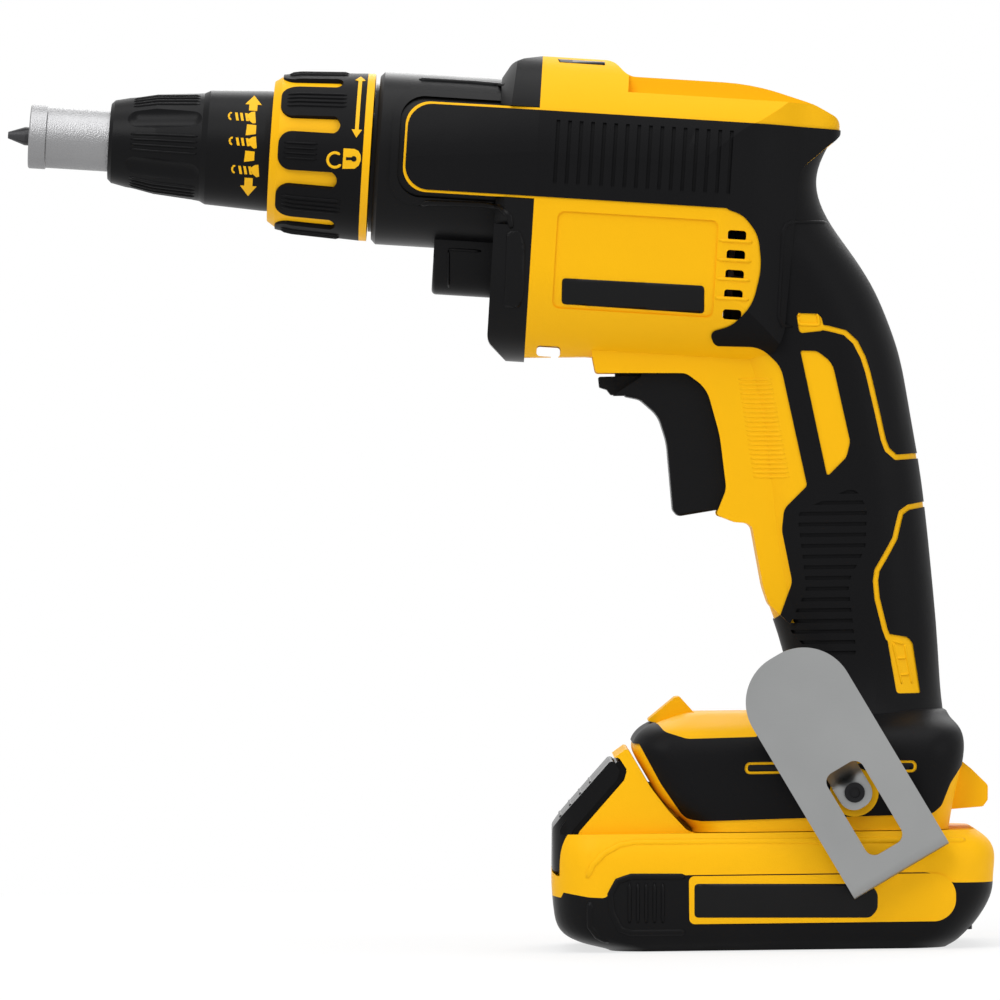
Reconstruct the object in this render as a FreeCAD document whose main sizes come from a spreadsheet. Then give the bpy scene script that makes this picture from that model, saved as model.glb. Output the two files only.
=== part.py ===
"""Cordless drywall screwdriver with a slide-on battery pack, as a parametric assembly.

Millimetres, +Z up, nose towards -X, split at Y = 0. The origin is the middle of the pack's underside.
The barrel frame starts at the gear case's front face on the spindle axis, with x running to the rear.
"""
import FreeCAD, Part
import math
import os
import re

import Sketcher
from FreeCAD import Placement, Rotation, Vector

SIZES = {
    # Barrel axis: where the gear case's front face stands, and how far the nose is tipped up
    "barrel_x": -103.8, "barrel_z": 213.8, "barrel_angle": 4.25,
    # Clearances
    "run_gap": 0.08, "slide_gap": 0.3, "seat_gap": 0.2, "overrun": 20.0,
    # Bit, holder and nose
    "hex_across": 6.35, "bit_reach": 5.9, "bit_length": 26.0, "bit_neck_r": 2.5, "bit_neck_length": 9.0,
    "bit_point_length": 4.6, "bit_point_r": 0.9, "bit_flute": 1.3, "bit_flute_angle": 14.0,
    "bit_flutes": 4, "holder_r": 5.6, "holder_length": 54.0, "holder_shank": 20.0, "holder_inset": 7.0,
    "locator_front": -93.6, "locator_r": 8.2, "locator_lip_r": 8.6, "locator_lip": 4.5,
    "locator_wall": 1.9, "locator_length": 54.0, "sleeve_wall": 1.6, "sleeve_front": -67.4,
    "sleeve_step": 2.6, "collar_front": -72.0, "collar_front_r": 11.2, "collar_chamfer": 1.0,
    "collar_cone_r": 14.6, "collar_cone_length": 25.0, "collar_band_r": 16.2, "collar_band_step": 1.6,
    "collar_length": 56.0, "flute_r": 4.5, "flute_length": 15.0, "flute_depth": 1.2, "flute_count": 6,
    "ring_gap": 1.3, "ring_length": 27.0, "ring_front_r": 18.9, "ring_shoulder_r": 20.3, "ring_r": 22.6,
    "ring_chamfer": 2.1, "ring_grip": 1.4, "ring_band": 2.0, "ring_hub": 8.5, "lobe_front": 2.2,
    "lobe_front_r": 20.9, "lobe_rise": 4.7, "lobe_rise_r": 21.7, "lobe_round": 3.7, "finger_width": 5.3,
    "finger_reach": 18.5, "finger_count": 9,
    # Gear case
    "case_r": 23.3, "case_length": 43.3, "case_edge": 1.2, "case_wall": 3.0, "bezel_gap": 1.5,
    "bezel_width": 2.0, "bezel_rise": 0.7, "stop_r": 20.0, "neck_r": 12.0, "neck_length": 21.5,
    "spigot_length": 9.9, "cover_plate": 7.6, "small_boss_front": 17.2, "small_boss_r": 9.7,
    "big_boss_front": 33.0, "case_shoulder": 3.0, "light_r": 3.4, "light_depth": 6.0, "light_drop": 15.5,
    "light_board": 1.6,
    # Spindle, clutch and gears
    "spindle_r": 7.0, "spindle_front": -26.0, "spindle_flange": 26.0, "flange_r": 11.0,
    "flange_length": 4.0, "jaw_length": 3.5, "jaw_wall": 3.0, "jaw_count": 3, "jaw_gap": 0.5,
    "tail_r": 4.5, "tail_length": 28.0, "gear_module": 0.9, "gear_teeth": 46, "pinion_teeth": 12,
    "pressure_angle": 25.0, "tooth_addendum": 0.8, "tooth_root": 1.05, "backlash": 0.16,
    "gear_front": 44.0, "gear_width": 8.0, "gear_hub_r": 8.0, "gear_hub_length": 10.0,
    "gear_nose_length": 7.0, "pinion_overhang": 1.0, "front_bearing_length": 10.0, "front_bearing_r": 9.4,
    "front_bearing_inset": 2.0, "rear_bearing_length": 6.4, "rear_bearing_r": 12.0, "clutch_wire": 1.2,
    "clutch_spring_r": 6.2, "clutch_turns": 3,
    # Motor
    "shaft_r": 2.5, "shaft_front": 17.6, "shaft_length": 94.4, "motor_bearing_r": 6.5,
    "motor_bearing_length": 6.0, "rotor_r": 11.5, "motor_front": 66.0, "stack_length": 26.0,
    "air_gap": 0.5, "stator_r": 21.0, "stator_ring": 3.2, "pole_width": 5.2, "pole_shoe": 1.8,
    "pole_count": 6, "slot_opening": 2.4, "winding_overhang": 3.4, "sensor_board": 1.4, "fan_front": 96.4,
    "fan_r": 18.5, "fan_length": 7.0, "fan_disc": 1.6, "fan_blades": 9, "fan_blade": 1.6,
    "fan_hub_r": 5.0, "fan_blade_angle": 25.0, "tail_bearing_front": 105.4, "tail_bearing_r": 8.0,
    "module_front": 68.0, "module_length": 35.0, "module_height": 16.0, "module_width": 34.0,
    "module_floor": 4.2, "module_wall": 1.8, "potting_drop": 2.0,
    # Housing
    "wall": 3.2, "rubber": 1.3, "rubber_rise": 0.35, "body_half": 27.5, "body_length": 80.9,
    "body_top": 25.6, "hump_top": 29.9, "hump_length": 19.0, "hump_round": 5.0, "arch_lift": 3.5,
    "motor_case_r": 26.5, "spine_half": 13.5, "spine_drop": 4.4, "recess_front": 49.8,
    "recess_length": 43.2, "recess_top": 11.9, "recess_height": 26.0, "recess_depth": 0.5,
    "recess_round": 2.0, "panel_front": 7.7, "panel_top": 15.4, "panel_bottom": 9.0, "panel_corner": 6.5,
    "pinstripe": 0.6, "pipe_width": 1.45, "panel_lift": 1.6, "rib_thickness": 2.6, "vent_length": 5.0,
    "vent_height": 2.7, "vent_pitch": 5.3, "vent_count": 5, "vent_front": 95.6, "window_length": 6.4,
    "window_height": 2.8, "groove_pitch": 3.1, "groove_width": 1.0, "groove_depth": 0.6,
    "groove_count": 16, "groove_front": 48.0, "handle_height": 160.0, "handle_reach": 46.2,
    "handle_half": 16.8, "foot_length": 88.0, "foot_front": -36.6, "foot_half": 35.0, "foot_base": 31.6,
    "foot_height": 31.6, "front_tab_half": 10.0, "rear_tab_half": 20.0, "channel_half": 23.0,
    "channel_height": 15.0, "rail_lip": 3.6, "rail_height": 3.6, "channel_back": 45.0, "screw_r": 1.5,
    "screw_head_r": 2.9, "screw_head": 2.4, "screw_boss_r": 3.8, "screw_length": 16.0,
    # Trigger group
    "trigger_half": 10.6, "trigger_back": -6.0, "trigger_gap": 0.6, "cheek": 1.4, "trigger_spring_r": 2.5,
    "trigger_wire": 0.7, "trigger_turns": 8, "trigger_pocket": 9.0, "trigger_round": 1.0,
    "panel_half": 14.4, "trigger_z": 135.0, "trigger_stem_r": 2.0, "trigger_stem": 13.0,
    "switch_front": 1.6, "switch_length": 26.0, "switch_height": 28.0, "switch_half": 9.5,
    "lever_pivot_x": -22.5, "lever_pivot_r": 1.8, "lever_arm": 3.0, "lever_half": 4.2, "lever_top": 156.9,
    "arm_top": 159.2, "post_length": 8.4, "thumb_half": 6.0,
    # Belt hook
    "hook_width": 29.2, "hook_strip": 1.6, "hook_standoff": 8.4, "hook_length": 51.9, "hook_angle": 30.1,
    "hook_top_x": 8.3, "hook_top_z": 65.8, "hook_bend_r": 2.6, "hook_lip": 4.0, "hook_slot_half": 5.5,
    "hook_slot_start": 19.7, "hook_slot_length": 25.0, "hook_tab_half": 4.6, "hook_tab_reach": 27.6,
    "hook_screw_r": 1.5, "hook_head_r": 2.7, "hook_head": 2.2, "hook_pad_r": 6.5,
    # Battery pack
    "pack_front": -58.7, "pack_length": 118.2, "pack_half": 37.5, "pack_height": 31.4,
    "pack_hump_half": 31.0, "pack_wall": 2.4, "pack_centre": -0.9, "tower_half": 18.6, "tower_top": 44.0,
    "tower_front": -33.0, "tower_back": 43.0, "tower_flange": 3.8, "cell_r": 9.1, "cell_length": 65.0,
    "cell_pitch": 20.0, "cell_count": 5, "cell_z": 14.6, "holder_plate": 5.0, "holder_rim": 2.4,
    "holder_set_in": 6.0, "strap_thickness": 0.3, "strap_height": 8.0, "board_thickness": 1.6,
    "board_half": 24.0, "board_length": 92.0, "block_front": 6.0, "block_length": 30.0,
    "block_half": 12.0, "block_height": 8.5, "blade_thickness": 0.8, "blade_drop": 7.2,
    "blade_pitch": 6.0, "blade_count": 4, "blade_length": 22.0, "contact_leaf": 0.5, "contact_gap": 0.15,
    "contact_length": 14.0, "contact_height": 4.0, "frame_proud": 0.35, "frame_depth": 1.4,
    "button_travel": 1.5, "button_spring_r": 2.0, "button_wire": 0.6, "button_turns": 6,
    "button_seat": 5.8, "button_spring_length": 12.0, "pack_screw_x": 52.4, "pack_screw_y": 24.0,
    "pack_screw_low": 7.0, "pack_screw_r": 1.2, "pack_screw_head_r": 2.4, "pack_screw_length": 13.5,
}

doc = FreeCAD.newDocument("DrywallScrewdriver")
sheet = doc.addObject("Spreadsheet::Sheet", "sizes")
for row, (alias, number) in enumerate(SIZES.items(), 1):
    sheet.set(f"A{row}", alias)
    sheet.set(f"B{row}", str(number))
    sheet.setAlias(f"B{row}", alias)
doc.recompute()


class Sizes:
    """Reads a driving dimension from the sheet by its alias."""

    def __getattr__(self, alias):
        return float(sheet.get(alias))


d = Sizes()
WORD = re.compile(r"[a-z]\w+")
AXIS_DROP = "(gear_teeth + pinion_teeth) * gear_module / 2"
TURN = "barrel_angle * 1 deg"
FRAMES = {
    "barrel": ("barrel_x", "barrel_z", TURN),
    "motor": (f"barrel_x - {AXIS_DROP} * sin({TURN})", f"barrel_z - {AXIS_DROP} * cos({TURN})", TURN),
}


def bound(formula):
    """The formula with every alias pointed at its cell."""
    return WORD.sub(lambda word: f"sizes.{word[0]}" if word[0] in SIZES else word[0], formula)


def value(formula):
    """The formula worked out with the sheet's present sizes."""
    result = sheet.evalExpression(formula)
    return float(getattr(result, "Value", result))


def place(piece, frame):
    """Puts a piece in one of the named frames, bound to the sheet; world pieces stay as drawn."""
    if frame == "world":
        return piece
    across, up, turn = FRAMES[frame]
    piece.Placement = Placement(Vector(value(across), 0, value(up)), Rotation(Vector(0, 1, 0), value(turn)))
    piece.setExpression("Placement.Base.x", bound(across))
    piece.setExpression("Placement.Base.z", bound(up))
    piece.setExpression("Placement.Rotation.Angle", bound(turn))
    return piece


BARREL = Placement(Vector(d.barrel_x, 0, d.barrel_z), Rotation(Vector(0, 1, 0), d.barrel_angle))


def in_world(shape):
    """A copy of a barrel-frame shape at its place in the world."""
    moved = shape.copy()
    moved.Placement = BARREL.multiply(moved.Placement)
    return moved


def solid(label, shape, frame="world"):
    """A finished piece made with Part's own functions."""
    piece = doc.addObject("Part::Feature", label)
    piece.Label = label
    piece.Shape = shape
    return place(piece, frame)


def body(label, frame):
    """An empty PartDesign body in a named frame."""
    piece = doc.addObject("PartDesign::Body", label)
    piece.Label = label
    return place(piece, frame)


def sketch(piece, role, corners, offset="0"):
    """A closed sketch on an origin plane, each corner a pair of formulas bound to the sheet."""
    profile = piece.newObject("Sketcher::SketchObject", f"{piece.Label}_profile")
    support = next(feature for feature in piece.Origin.OriginFeatures if feature.Role == role)
    profile.AttachmentSupport = [(support, "")]
    profile.MapMode = "FlatFace"
    profile.AttachmentOffset = Placement(Vector(0, 0, value(offset)), Rotation())
    profile.setExpression("AttachmentOffset.Base.z", bound(offset))
    points = [Vector(value(across), value(up), 0) for across, up in corners]
    for index, point in enumerate(points):
        profile.addGeometry(Part.LineSegment(point, points[(index + 1) % len(points)]), False)
    for index, (across, up) in enumerate(corners):
        following = (index + 1) % len(points)
        profile.addConstraint(Sketcher.Constraint("Coincident", index, 2, following, 1))
        for kind, formula, number in (("DistanceX", across, points[index].x),
                                      ("DistanceY", up, points[index].y)):
            mark = profile.addConstraint(Sketcher.Constraint(kind, -1, 1, index, 1, number))
            profile.setExpression(f"Constraints[{mark}]", bound(formula))
    return profile


def revolved(label, corners, frame="barrel"):
    """A body of revolution about the frame's x axis; corners are (x, radius) formulas."""
    piece = body(label, frame)
    spin = piece.newObject("PartDesign::Revolution", f"{label}_spin")
    spin.Profile = sketch(piece, "XZ_Plane", corners)
    spin.ReferenceAxis = (spin.Profile[0], ["H_Axis"])
    spin.Angle = 360
    return piece


def tube(start, end, inner, outer):
    """Corners of a plain ring between two stations."""
    return [(start, inner), (start, outer), (end, outer), (end, inner)]


def hexagon(across):
    """Corners of a hexagon by its width across flats."""
    return [(f"{across} / 2 / cos(30 deg) * cos({60 * k} deg)",
             f"{across} / 2 / cos(30 deg) * sin({60 * k} deg)") for k in range(6)]


def pocket(piece, corners, start, length):
    """Cuts a prism along +x into a body from a station."""
    doc.recompute()
    before = piece.Shape.Volume
    cut = piece.newObject("PartDesign::Pocket", f"{piece.Label}_pocket")
    cut.Profile = sketch(piece, "YZ_Plane", corners, start)
    cut.Reversed = True
    cut.setExpression("Length", bound(length))
    doc.recompute()
    if piece.Shape.Volume >= before:
        raise ValueError(f"{piece.Label}: the pocket cut nothing")
    return piece


def pad(piece, corners, start, length):
    """Adds a prism along +x to a body from a station."""
    block = piece.newObject("PartDesign::Pad", f"{piece.Label}_pad")
    block.Profile = sketch(piece, "YZ_Plane", corners, start)
    block.setExpression("Length", bound(length))
    return piece


def bar(start, end, r, across=0, up=0):
    """Cylinder along x between two stations."""
    return Part.makeCylinder(r, end - start, Vector(start, across, up), Vector(1, 0, 0))


def block(x, y, z):
    """Box between three pairs of limits."""
    return Part.makeBox(x[1] - x[0], y[1] - y[0], z[1] - z[0], Vector(x[0], y[0], z[0]))


def upright(spot, low, high, r):
    """Cylinder across the tool at a side-view point."""
    return Part.makeCylinder(r, high - low, Vector(spot.x, low, spot.z), Vector(0, 1, 0))


def joined(shapes):
    """One shape fused from several."""
    first, *rest = shapes
    return first.fuse(rest).removeSplitter() if rest else first


def mirrored(shape):
    """The other hand of a shape."""
    return shape.mirror(Vector(0, 0, 0), Vector(0, 1, 0))


# Most of a side that one corner's arc may take, and the half angle from which a corner counts as straight
MOST_SHARE = 0.46
STRAIGHT = math.radians(89.5)


def rounded_wire(corners):
    """Closed wire in the XZ plane through (x, z, corner radius) points."""
    points = [Vector(x, 0, z) for x, z, r in corners]
    edges = []
    ends = []
    for index, (x, z, r) in enumerate(corners):
        point = points[index]
        back = points[index - 1] - point
        ahead = points[(index + 1) % len(points)] - point
        half_angle = back.getAngle(ahead) / 2
        if r <= 0 or half_angle > STRAIGHT:
            ends.append((point, None, point))
            continue
        reach = min(r / math.tan(half_angle), MOST_SHARE * min(back.Length, ahead.Length))
        fit_r = reach * math.tan(half_angle)
        u = Vector(back).normalize()
        v = Vector(ahead).normalize()
        middle = point + (u + v).normalize() * (fit_r / math.sin(half_angle) - fit_r)
        ends.append((point + u * reach, middle, point + v * reach))
    for index, (start, middle, end) in enumerate(ends):
        if middle:
            edges.append(Part.Arc(start, middle, end).toShape())
        edges.append(Part.LineSegment(end, ends[(index + 1) % len(ends)][0]).toShape())
    return Part.Wire(edges)


def prism(corners, y_low, y_high):
    """Prism along y of an outline with rounded corners."""
    face = Part.Face(rounded_wire(corners))
    face.translate(Vector(0, y_low, 0))
    return face.extrude(Vector(0, y_high - y_low, 0))


def half_level(z, front, back, half, front_r, back_r, inner):
    """Level section of the -y side that runs on to y = inner, with rounded front and back corners."""
    front_r = min(front_r, 2 * MOST_SHARE * half, MOST_SHARE * (back - front))
    back_r = min(back_r, 2 * MOST_SHARE * half, MOST_SHARE * (back - front))
    turn_share = 1 - math.sqrt(0.5)
    marks = [Vector(front, inner, z), Vector(front, front_r - half, z),
             Vector(front + turn_share * front_r, turn_share * front_r - half, z),
             Vector(front + front_r, -half, z), Vector(back - back_r, -half, z),
             Vector(back - turn_share * back_r, turn_share * back_r - half, z),
             Vector(back, back_r - half, z), Vector(back, inner, z)]
    edges = [Part.LineSegment(marks[0], marks[1]), Part.Arc(marks[1], marks[2], marks[3]),
             Part.LineSegment(marks[3], marks[4]), Part.Arc(marks[4], marks[5], marks[6]),
             Part.LineSegment(marks[6], marks[7]), Part.LineSegment(marks[7], marks[0])]
    return Part.Wire([edge.toShape() for edge in edges])


def half_loft(stations):
    """Smooth solid on the -y side through level sections."""
    return Part.makeLoft([half_level(*station) for station in stations], True, False)


def inner_side(grow, step):
    """How far a form runs past the middle plane: never the same for two forms that meet."""
    return d.overrun / 4 + grow + step * d.seat_gap


def left_side(shape):
    """The part of a shape on the -y side."""
    reach = 2 * d.handle_height
    return shape.common(block((-reach, reach), (-reach, 0), (-reach, reach)))


# Handle stations: height, front, back and half width as shares of the handle's height, reach and half width
HANDLE_SHARES = [(1.370, -0.62, 0.455, 0.86), (1.338, -0.62, 0.372, 0.92), (1.310, -0.62, 0.330, 0.98),
                 (1.285, -0.62, 0.316, 1.02), (1.255, -0.62, 0.332, 1.06), (1.219, -0.60, 0.388, 1.09),
                 (1.170, -0.52, 0.502, 1.10), (1.110, -0.42, 0.632, 1.08), (1.050, -0.30, 0.722, 1.05),
                 (1.000, -0.22, 0.779, 1.02), (0.900, -0.14, 0.844, 0.99), (0.820, -0.11, 0.889, 0.98),
                 (0.705, -0.07, 0.936, 0.98), (0.600, -0.01, 0.968, 0.98), (0.540, 0.06, 0.984, 0.99),
                 (0.478, 0.12, 0.996, 1.04), (0.430, 0.16, 1.005, 1.14), (0.385, 0.17, 1.020, 1.34),
                 (0.330, 0.17, 1.030, 1.60)]
# Foot stations: height, front, back and half width as shares of the foot's height, length and half width
FOOT_SHARES = [(0.000, 0.178, 0.958, 0.955), (0.180, 0.117, 0.968, 0.975), (0.380, 0.058, 0.984, 0.995),
               (0.560, 0.021, 0.998, 1.000), (0.700, 0.000, 1.003, 0.985), (0.800, 0.012, 0.998, 0.930),
               (0.885, 0.048, 0.980, 0.820), (0.955, 0.110, 0.960, 0.660), (1.000, 0.180, 0.940, 0.500)]


FRONT_ROUND = 0.80
BACK_ROUND = 0.94
FOOT_ROUND = 0.30


def handle_form(grow):
    """Left half of the handle, grown or shrunk by an amount."""
    stations = []
    for level, front, back, half in HANDLE_SHARES:
        half_width = half * d.handle_half + grow
        stations.append((level * d.handle_height, front * d.handle_reach - grow, back * d.handle_reach + grow,
                         half_width, FRONT_ROUND * half_width, BACK_ROUND * half_width, inner_side(grow, 0)))
    return half_loft(stations)


def foot_form(grow):
    """Left half of the foot, grown or shrunk by an amount except at its flat base."""
    stations = []
    for level, front, back, half in FOOT_SHARES:
        half_width = half * d.foot_half + grow
        rise = grow if level > FOOT_ROUND else 0
        stations.append((d.foot_base + level * d.foot_height + rise,
                         d.foot_front + front * d.foot_length - grow,
                         d.foot_front + back * d.foot_length + grow, half_width, FOOT_ROUND * half_width,
                         FOOT_ROUND * half_width, inner_side(grow, 1)))
    return half_loft(stations)


AXIS_Z = -value(AXIS_DROP)
WIDE = d.foot_half + d.overrun
BODY_BACK = d.case_length + d.body_length


def arch_wire(x, r, low_r, lift):
    """Closed arched section across the barrel: a round top, leaning sides and a round bottom."""
    half_turn = math.sqrt(0.5)
    high = [Vector(x, side * r, lift) for side in (1, -1)]
    low = [Vector(x, side * low_r, AXIS_Z) for side in (1, -1)]
    crown = [Vector(x, side * r * half_turn, lift + r * half_turn) for side in (1, -1)]
    keel = [Vector(x, side * low_r * half_turn, AXIS_Z - low_r * half_turn) for side in (1, -1)]
    top = Vector(x, 0, lift + r)
    bottom = Vector(x, 0, AXIS_Z - low_r)
    edges = [Part.Arc(high[0], crown[0], top), Part.Arc(top, crown[1], high[1]),
             Part.LineSegment(high[1], low[1]), Part.Arc(low[1], keel[1], bottom),
             Part.Arc(bottom, keel[0], low[0]), Part.LineSegment(low[0], high[0])]
    return Part.Wire([edge.toShape() for edge in edges])


def arch_form(start, end, grow):
    """The body's arched section between two stations of the barrel."""
    wire = arch_wire(start, d.body_half + grow, d.motor_case_r + grow, d.arch_lift)
    return Part.Face(wire).extrude(Vector(end - start, 0, 0))


# Rear of the body seen from the side: shares of its length and its top's height, corners of its half width
BACK_SHARES = [(0.700, 1.000, 2.2), (0.905, 0.830, 0.9), (1.000, 0.690, 0.15), (1.000, 0.505, 0.07),
               (0.870, 0.120, 0.22), (0.850, -1.700, 0.44), (0.760, -2.050, 0.3)]
# Rear of the body seen from above: shares of its length and half width, corner radii of its half width
PLAN_SHARES = [(0.600, 1.000, 1.45), (0.780, 0.860, 0.87), (0.880, 0.640, 0.5), (1.000, 0.500, 0.3)]


def body_form(grow):
    """Left half of the upper body behind the gear case, in the barrel frame."""
    front = d.case_length
    deep = AXIS_Z - d.motor_case_r - d.overrun
    hump_end = front + d.hump_length
    wide = d.body_half + d.overrun
    inner = inner_side(grow, 2)
    side = [(front, deep, 0), (front, d.hump_top + grow, 0), (hump_end, d.hump_top + grow, d.hump_round),
            (hump_end + d.hump_top - d.body_top, d.body_top + grow, d.hump_round)]
    side += [(front + along * d.body_length + (grow if along > PLAN_SHARES[1][0] else 0),
              up * d.body_top + grow, turn * d.body_half) for along, up, turn in BACK_SHARES]
    side.append((front + BACK_SHARES[-1][0] * d.body_length, deep, 0))
    plan = [(front, inner, 0), (front, -d.body_half - grow, 0)]
    plan += [(front + along * d.body_length + (grow if along == 1 else 0), -half * d.body_half - grow,
              turn * d.body_half) for along, half, turn in PLAN_SHARES]
    plan.append((BODY_BACK + grow, inner, 0))
    top_view = Part.Face(rounded_wire(plan))
    top_view.rotate(Vector(0, 0, 0), Vector(1, 0, 0), -90)
    top_view.translate(Vector(0, 0, deep))
    column = top_view.extrude(Vector(0, 0, 2 * abs(deep)))
    form = prism(side, -wide, wide).common(arch_form(front, BODY_BACK + d.overrun, grow)).common(column)
    shoulder = d.body_top - d.spine_drop + grow
    spine_start = hump_end + d.spine_drop
    step = [Vector(spine_start, -d.spine_half, d.hump_top + d.overrun),
            Vector(spine_start, -d.spine_half - d.spine_drop / 2, shoulder),
            Vector(spine_start, -wide, shoulder), Vector(spine_start, -wide, d.hump_top + d.overrun)]
    return form.cut(Part.Face(Part.makePolygon(step + step[:1])).extrude(Vector(d.body_length, 0, 0)))


def tongue_outline(grow):
    """Side view of the housing's tongue over the gear case, in the barrel frame."""
    front = d.panel_front - grow
    return [(front, -d.panel_bottom - grow, d.panel_corner), (front, d.panel_top + grow, d.panel_corner),
            (d.case_length, d.panel_top + grow, 0), (d.case_length, -d.panel_bottom - grow, 0)]


def tongue_form(grow):
    """Left tongue of the housing over the gear case's side, running on into the body, in the barrel frame."""
    front_r = d.case_r + d.panel_lift + grow
    rear = arch_wire(d.case_length, d.body_half + grow, d.motor_case_r + grow, d.arch_lift)
    form = Part.makeLoft([arch_wire(d.panel_front - d.slide_gap, front_r, front_r, 0), rear], True, True)
    cover = prism(tongue_outline(0), -d.body_half - d.overrun, -d.case_r / 2)
    return form.common(cover).cut(bar(0, d.case_length + d.overrun, d.case_r + d.seat_gap))


def grip_point(across, up):
    """A share pair of the handle's side view as a point."""
    return across * d.handle_reach, up * d.handle_height


def region(shares, low, high):
    """Prism across the tool of a side view in shares of the handle's reach, height and half width."""
    return prism([(*grip_point(across, up), turn * d.handle_half) for across, up, turn in shares], low, high)


# Panel behind the trigger, seen from the side: shares of the handle's reach, height and half width
TRIGGER_PANEL_SHARES = [(-1.02, 1.030, 0), (-0.98, 0.968, 0.06), (-0.455, 0.966, 0.24),
                        (-0.335, 0.940, 0.54), (-0.262, 0.860, 1.79), (-0.228, 0.770, 0.36),
                        (-0.290, 0.727, 0.06), (-0.175, 0.714, 0.06), (-0.085, 0.712, 0.18),
                        (-0.022, 0.605, 1.19), (0.012, 0.575, 0.24), (0.140, 0.540, 0), (0.500, 0.600, 0),
                        (0.500, 1.030, 0)]


def trigger_panel_form(grow):
    """Left half of the flat-sided panel that the trigger slides in."""
    return region(TRIGGER_PANEL_SHARES, -d.panel_half - grow, inner_side(grow, 3))


def housing_form(grow):
    """Left half of the whole moulded form at an offset from its yellow surface."""
    return joined([in_world(body_form(grow)), handle_form(grow), trigger_panel_form(grow), foot_form(grow),
                   in_world(tongue_form(grow))])


def repeated(shape, count, axis=Vector(1, 0, 0), centre=Vector(0, 0, 0)):
    """Copies of a shape turned evenly about an axis."""
    copies = []
    for k in range(int(count)):
        copy = shape.copy()
        copy.rotate(centre, axis, 360.0 * k / count)
        copies.append(copy)
    return copies


def arc_to(start, heading, end):
    """Arc that leaves a point along a heading and ends at another point."""
    chord = end - start
    along = Vector(chord).normalize()
    lean = heading.getAngle(chord)
    side = (heading - along * heading.dot(along)).normalize()
    middle = start + chord / 2 + side * (chord.Length / 2 * math.tan(lean / 2))
    return Part.Arc(start, middle, end).toShape()


def coil(start, end, r, wire, turns):
    """Unbroken helical spring along x, its line made of biarcs of a quarter turn."""
    rise = (end - start - wire) / turns
    steps = int(round(turns)) * 4
    slope = rise / (2 * math.pi)

    def mark(k):
        angle = 2 * math.pi * k / 4
        return Vector(start + wire / 2 + rise * k / 4, r * math.cos(angle), r * math.sin(angle))

    def heading(k):
        angle = 2 * math.pi * k / 4
        return Vector(slope, -r * math.sin(angle), r * math.cos(angle)).normalize()

    edges = []
    for k in range(steps):
        p0, p1, t0, t1 = mark(k), mark(k + 1), heading(k), heading(k + 1)
        gap = p1 - p0
        spread = 2 * (1 - t0.dot(t1))
        pull = gap.dot(t0 + t1)
        reach = (-pull + math.sqrt(pull * pull + spread * gap.dot(gap))) / spread
        meet = (p0 + p1 + (t0 - t1) * reach) / 2
        first = arc_to(p0, t0, meet)
        edges += [first, arc_to(meet, first.tangentAt(first.LastParameter), p1)]
    print(f"coil of {turns:.0f} turns: least gap {rise - wire:.2f} mm")
    ring = Part.Wire(Part.makeCircle(wire / 2, mark(0), heading(0)))
    return Part.Wire(edges).makePipeShell([ring], True, False)


def toothed(teeth, width, start, bore, first):
    """Spur gear about x with involute flanks drawn as arcs and its first tooth at an angle from y."""
    pitch_r = teeth * d.gear_module / 2
    base_r = pitch_r * math.cos(math.radians(d.pressure_angle))
    tip_r = pitch_r + d.tooth_addendum * d.gear_module
    root_r = pitch_r - d.tooth_root * d.gear_module
    half_tooth = (math.pi * d.gear_module / 2 - d.backlash) / (2 * pitch_r)

    def roll(r):
        lean = math.acos(min(1.0, base_r / r))
        return math.tan(lean) - lean

    def flank(r, side, centre):
        turn = centre + side * (half_tooth + roll(pitch_r) - roll(r))
        return Vector(start, r * math.cos(turn), r * math.sin(turn))

    foot_r = max(base_r, root_r)
    edges = []
    for k in range(int(teeth)):
        centre = first + 2 * math.pi * k / teeth
        rise = [flank(foot_r, -1, centre), flank((foot_r + tip_r) / 2, -1, centre), flank(tip_r, -1, centre)]
        fall = [flank(tip_r, 1, centre), flank((foot_r + tip_r) / 2, 1, centre), flank(foot_r, 1, centre)]
        edges += [Part.Arc(*rise).toShape(), Part.LineSegment(rise[2], fall[0]).toShape(),
                  Part.Arc(*fall).toShape()]
        following = flank(foot_r, -1, centre + 2 * math.pi / teeth)
        low = [Vector(start, p.y * root_r / foot_r, p.z * root_r / foot_r) for p in (fall[2], following)]
        if foot_r > root_r:
            edges += [Part.LineSegment(fall[2], low[0]).toShape(), Part.LineSegment(*low).toShape(),
                      Part.LineSegment(low[1], following).toShape()]
        else:
            edges.append(Part.LineSegment(fall[2], following).toShape())
    wheel = Part.Face(Part.Wire(edges)).extrude(Vector(width, 0, 0))
    return wheel.cut(bar(start - width, start + 2 * width, bore))


def jaws(start, end, turn):
    """Clutch jaws: sectors of a ring about x between two stations."""
    ring = bar(start, end, d.flange_r).cut(bar(start, end, d.flange_r - d.jaw_wall))
    width = 2 * (d.flange_r - d.jaw_wall) * math.sin(math.pi / (2 * d.jaw_count)) - 2 * d.jaw_gap
    teeth = repeated(block((start, end), (0, d.overrun), (-width / 2, width / 2)), d.jaw_count)
    jaw = ring.common(Part.makeCompound(teeth))
    jaw.rotate(Vector(0, 0, 0), Vector(1, 0, 0), turn)
    return jaw


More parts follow.
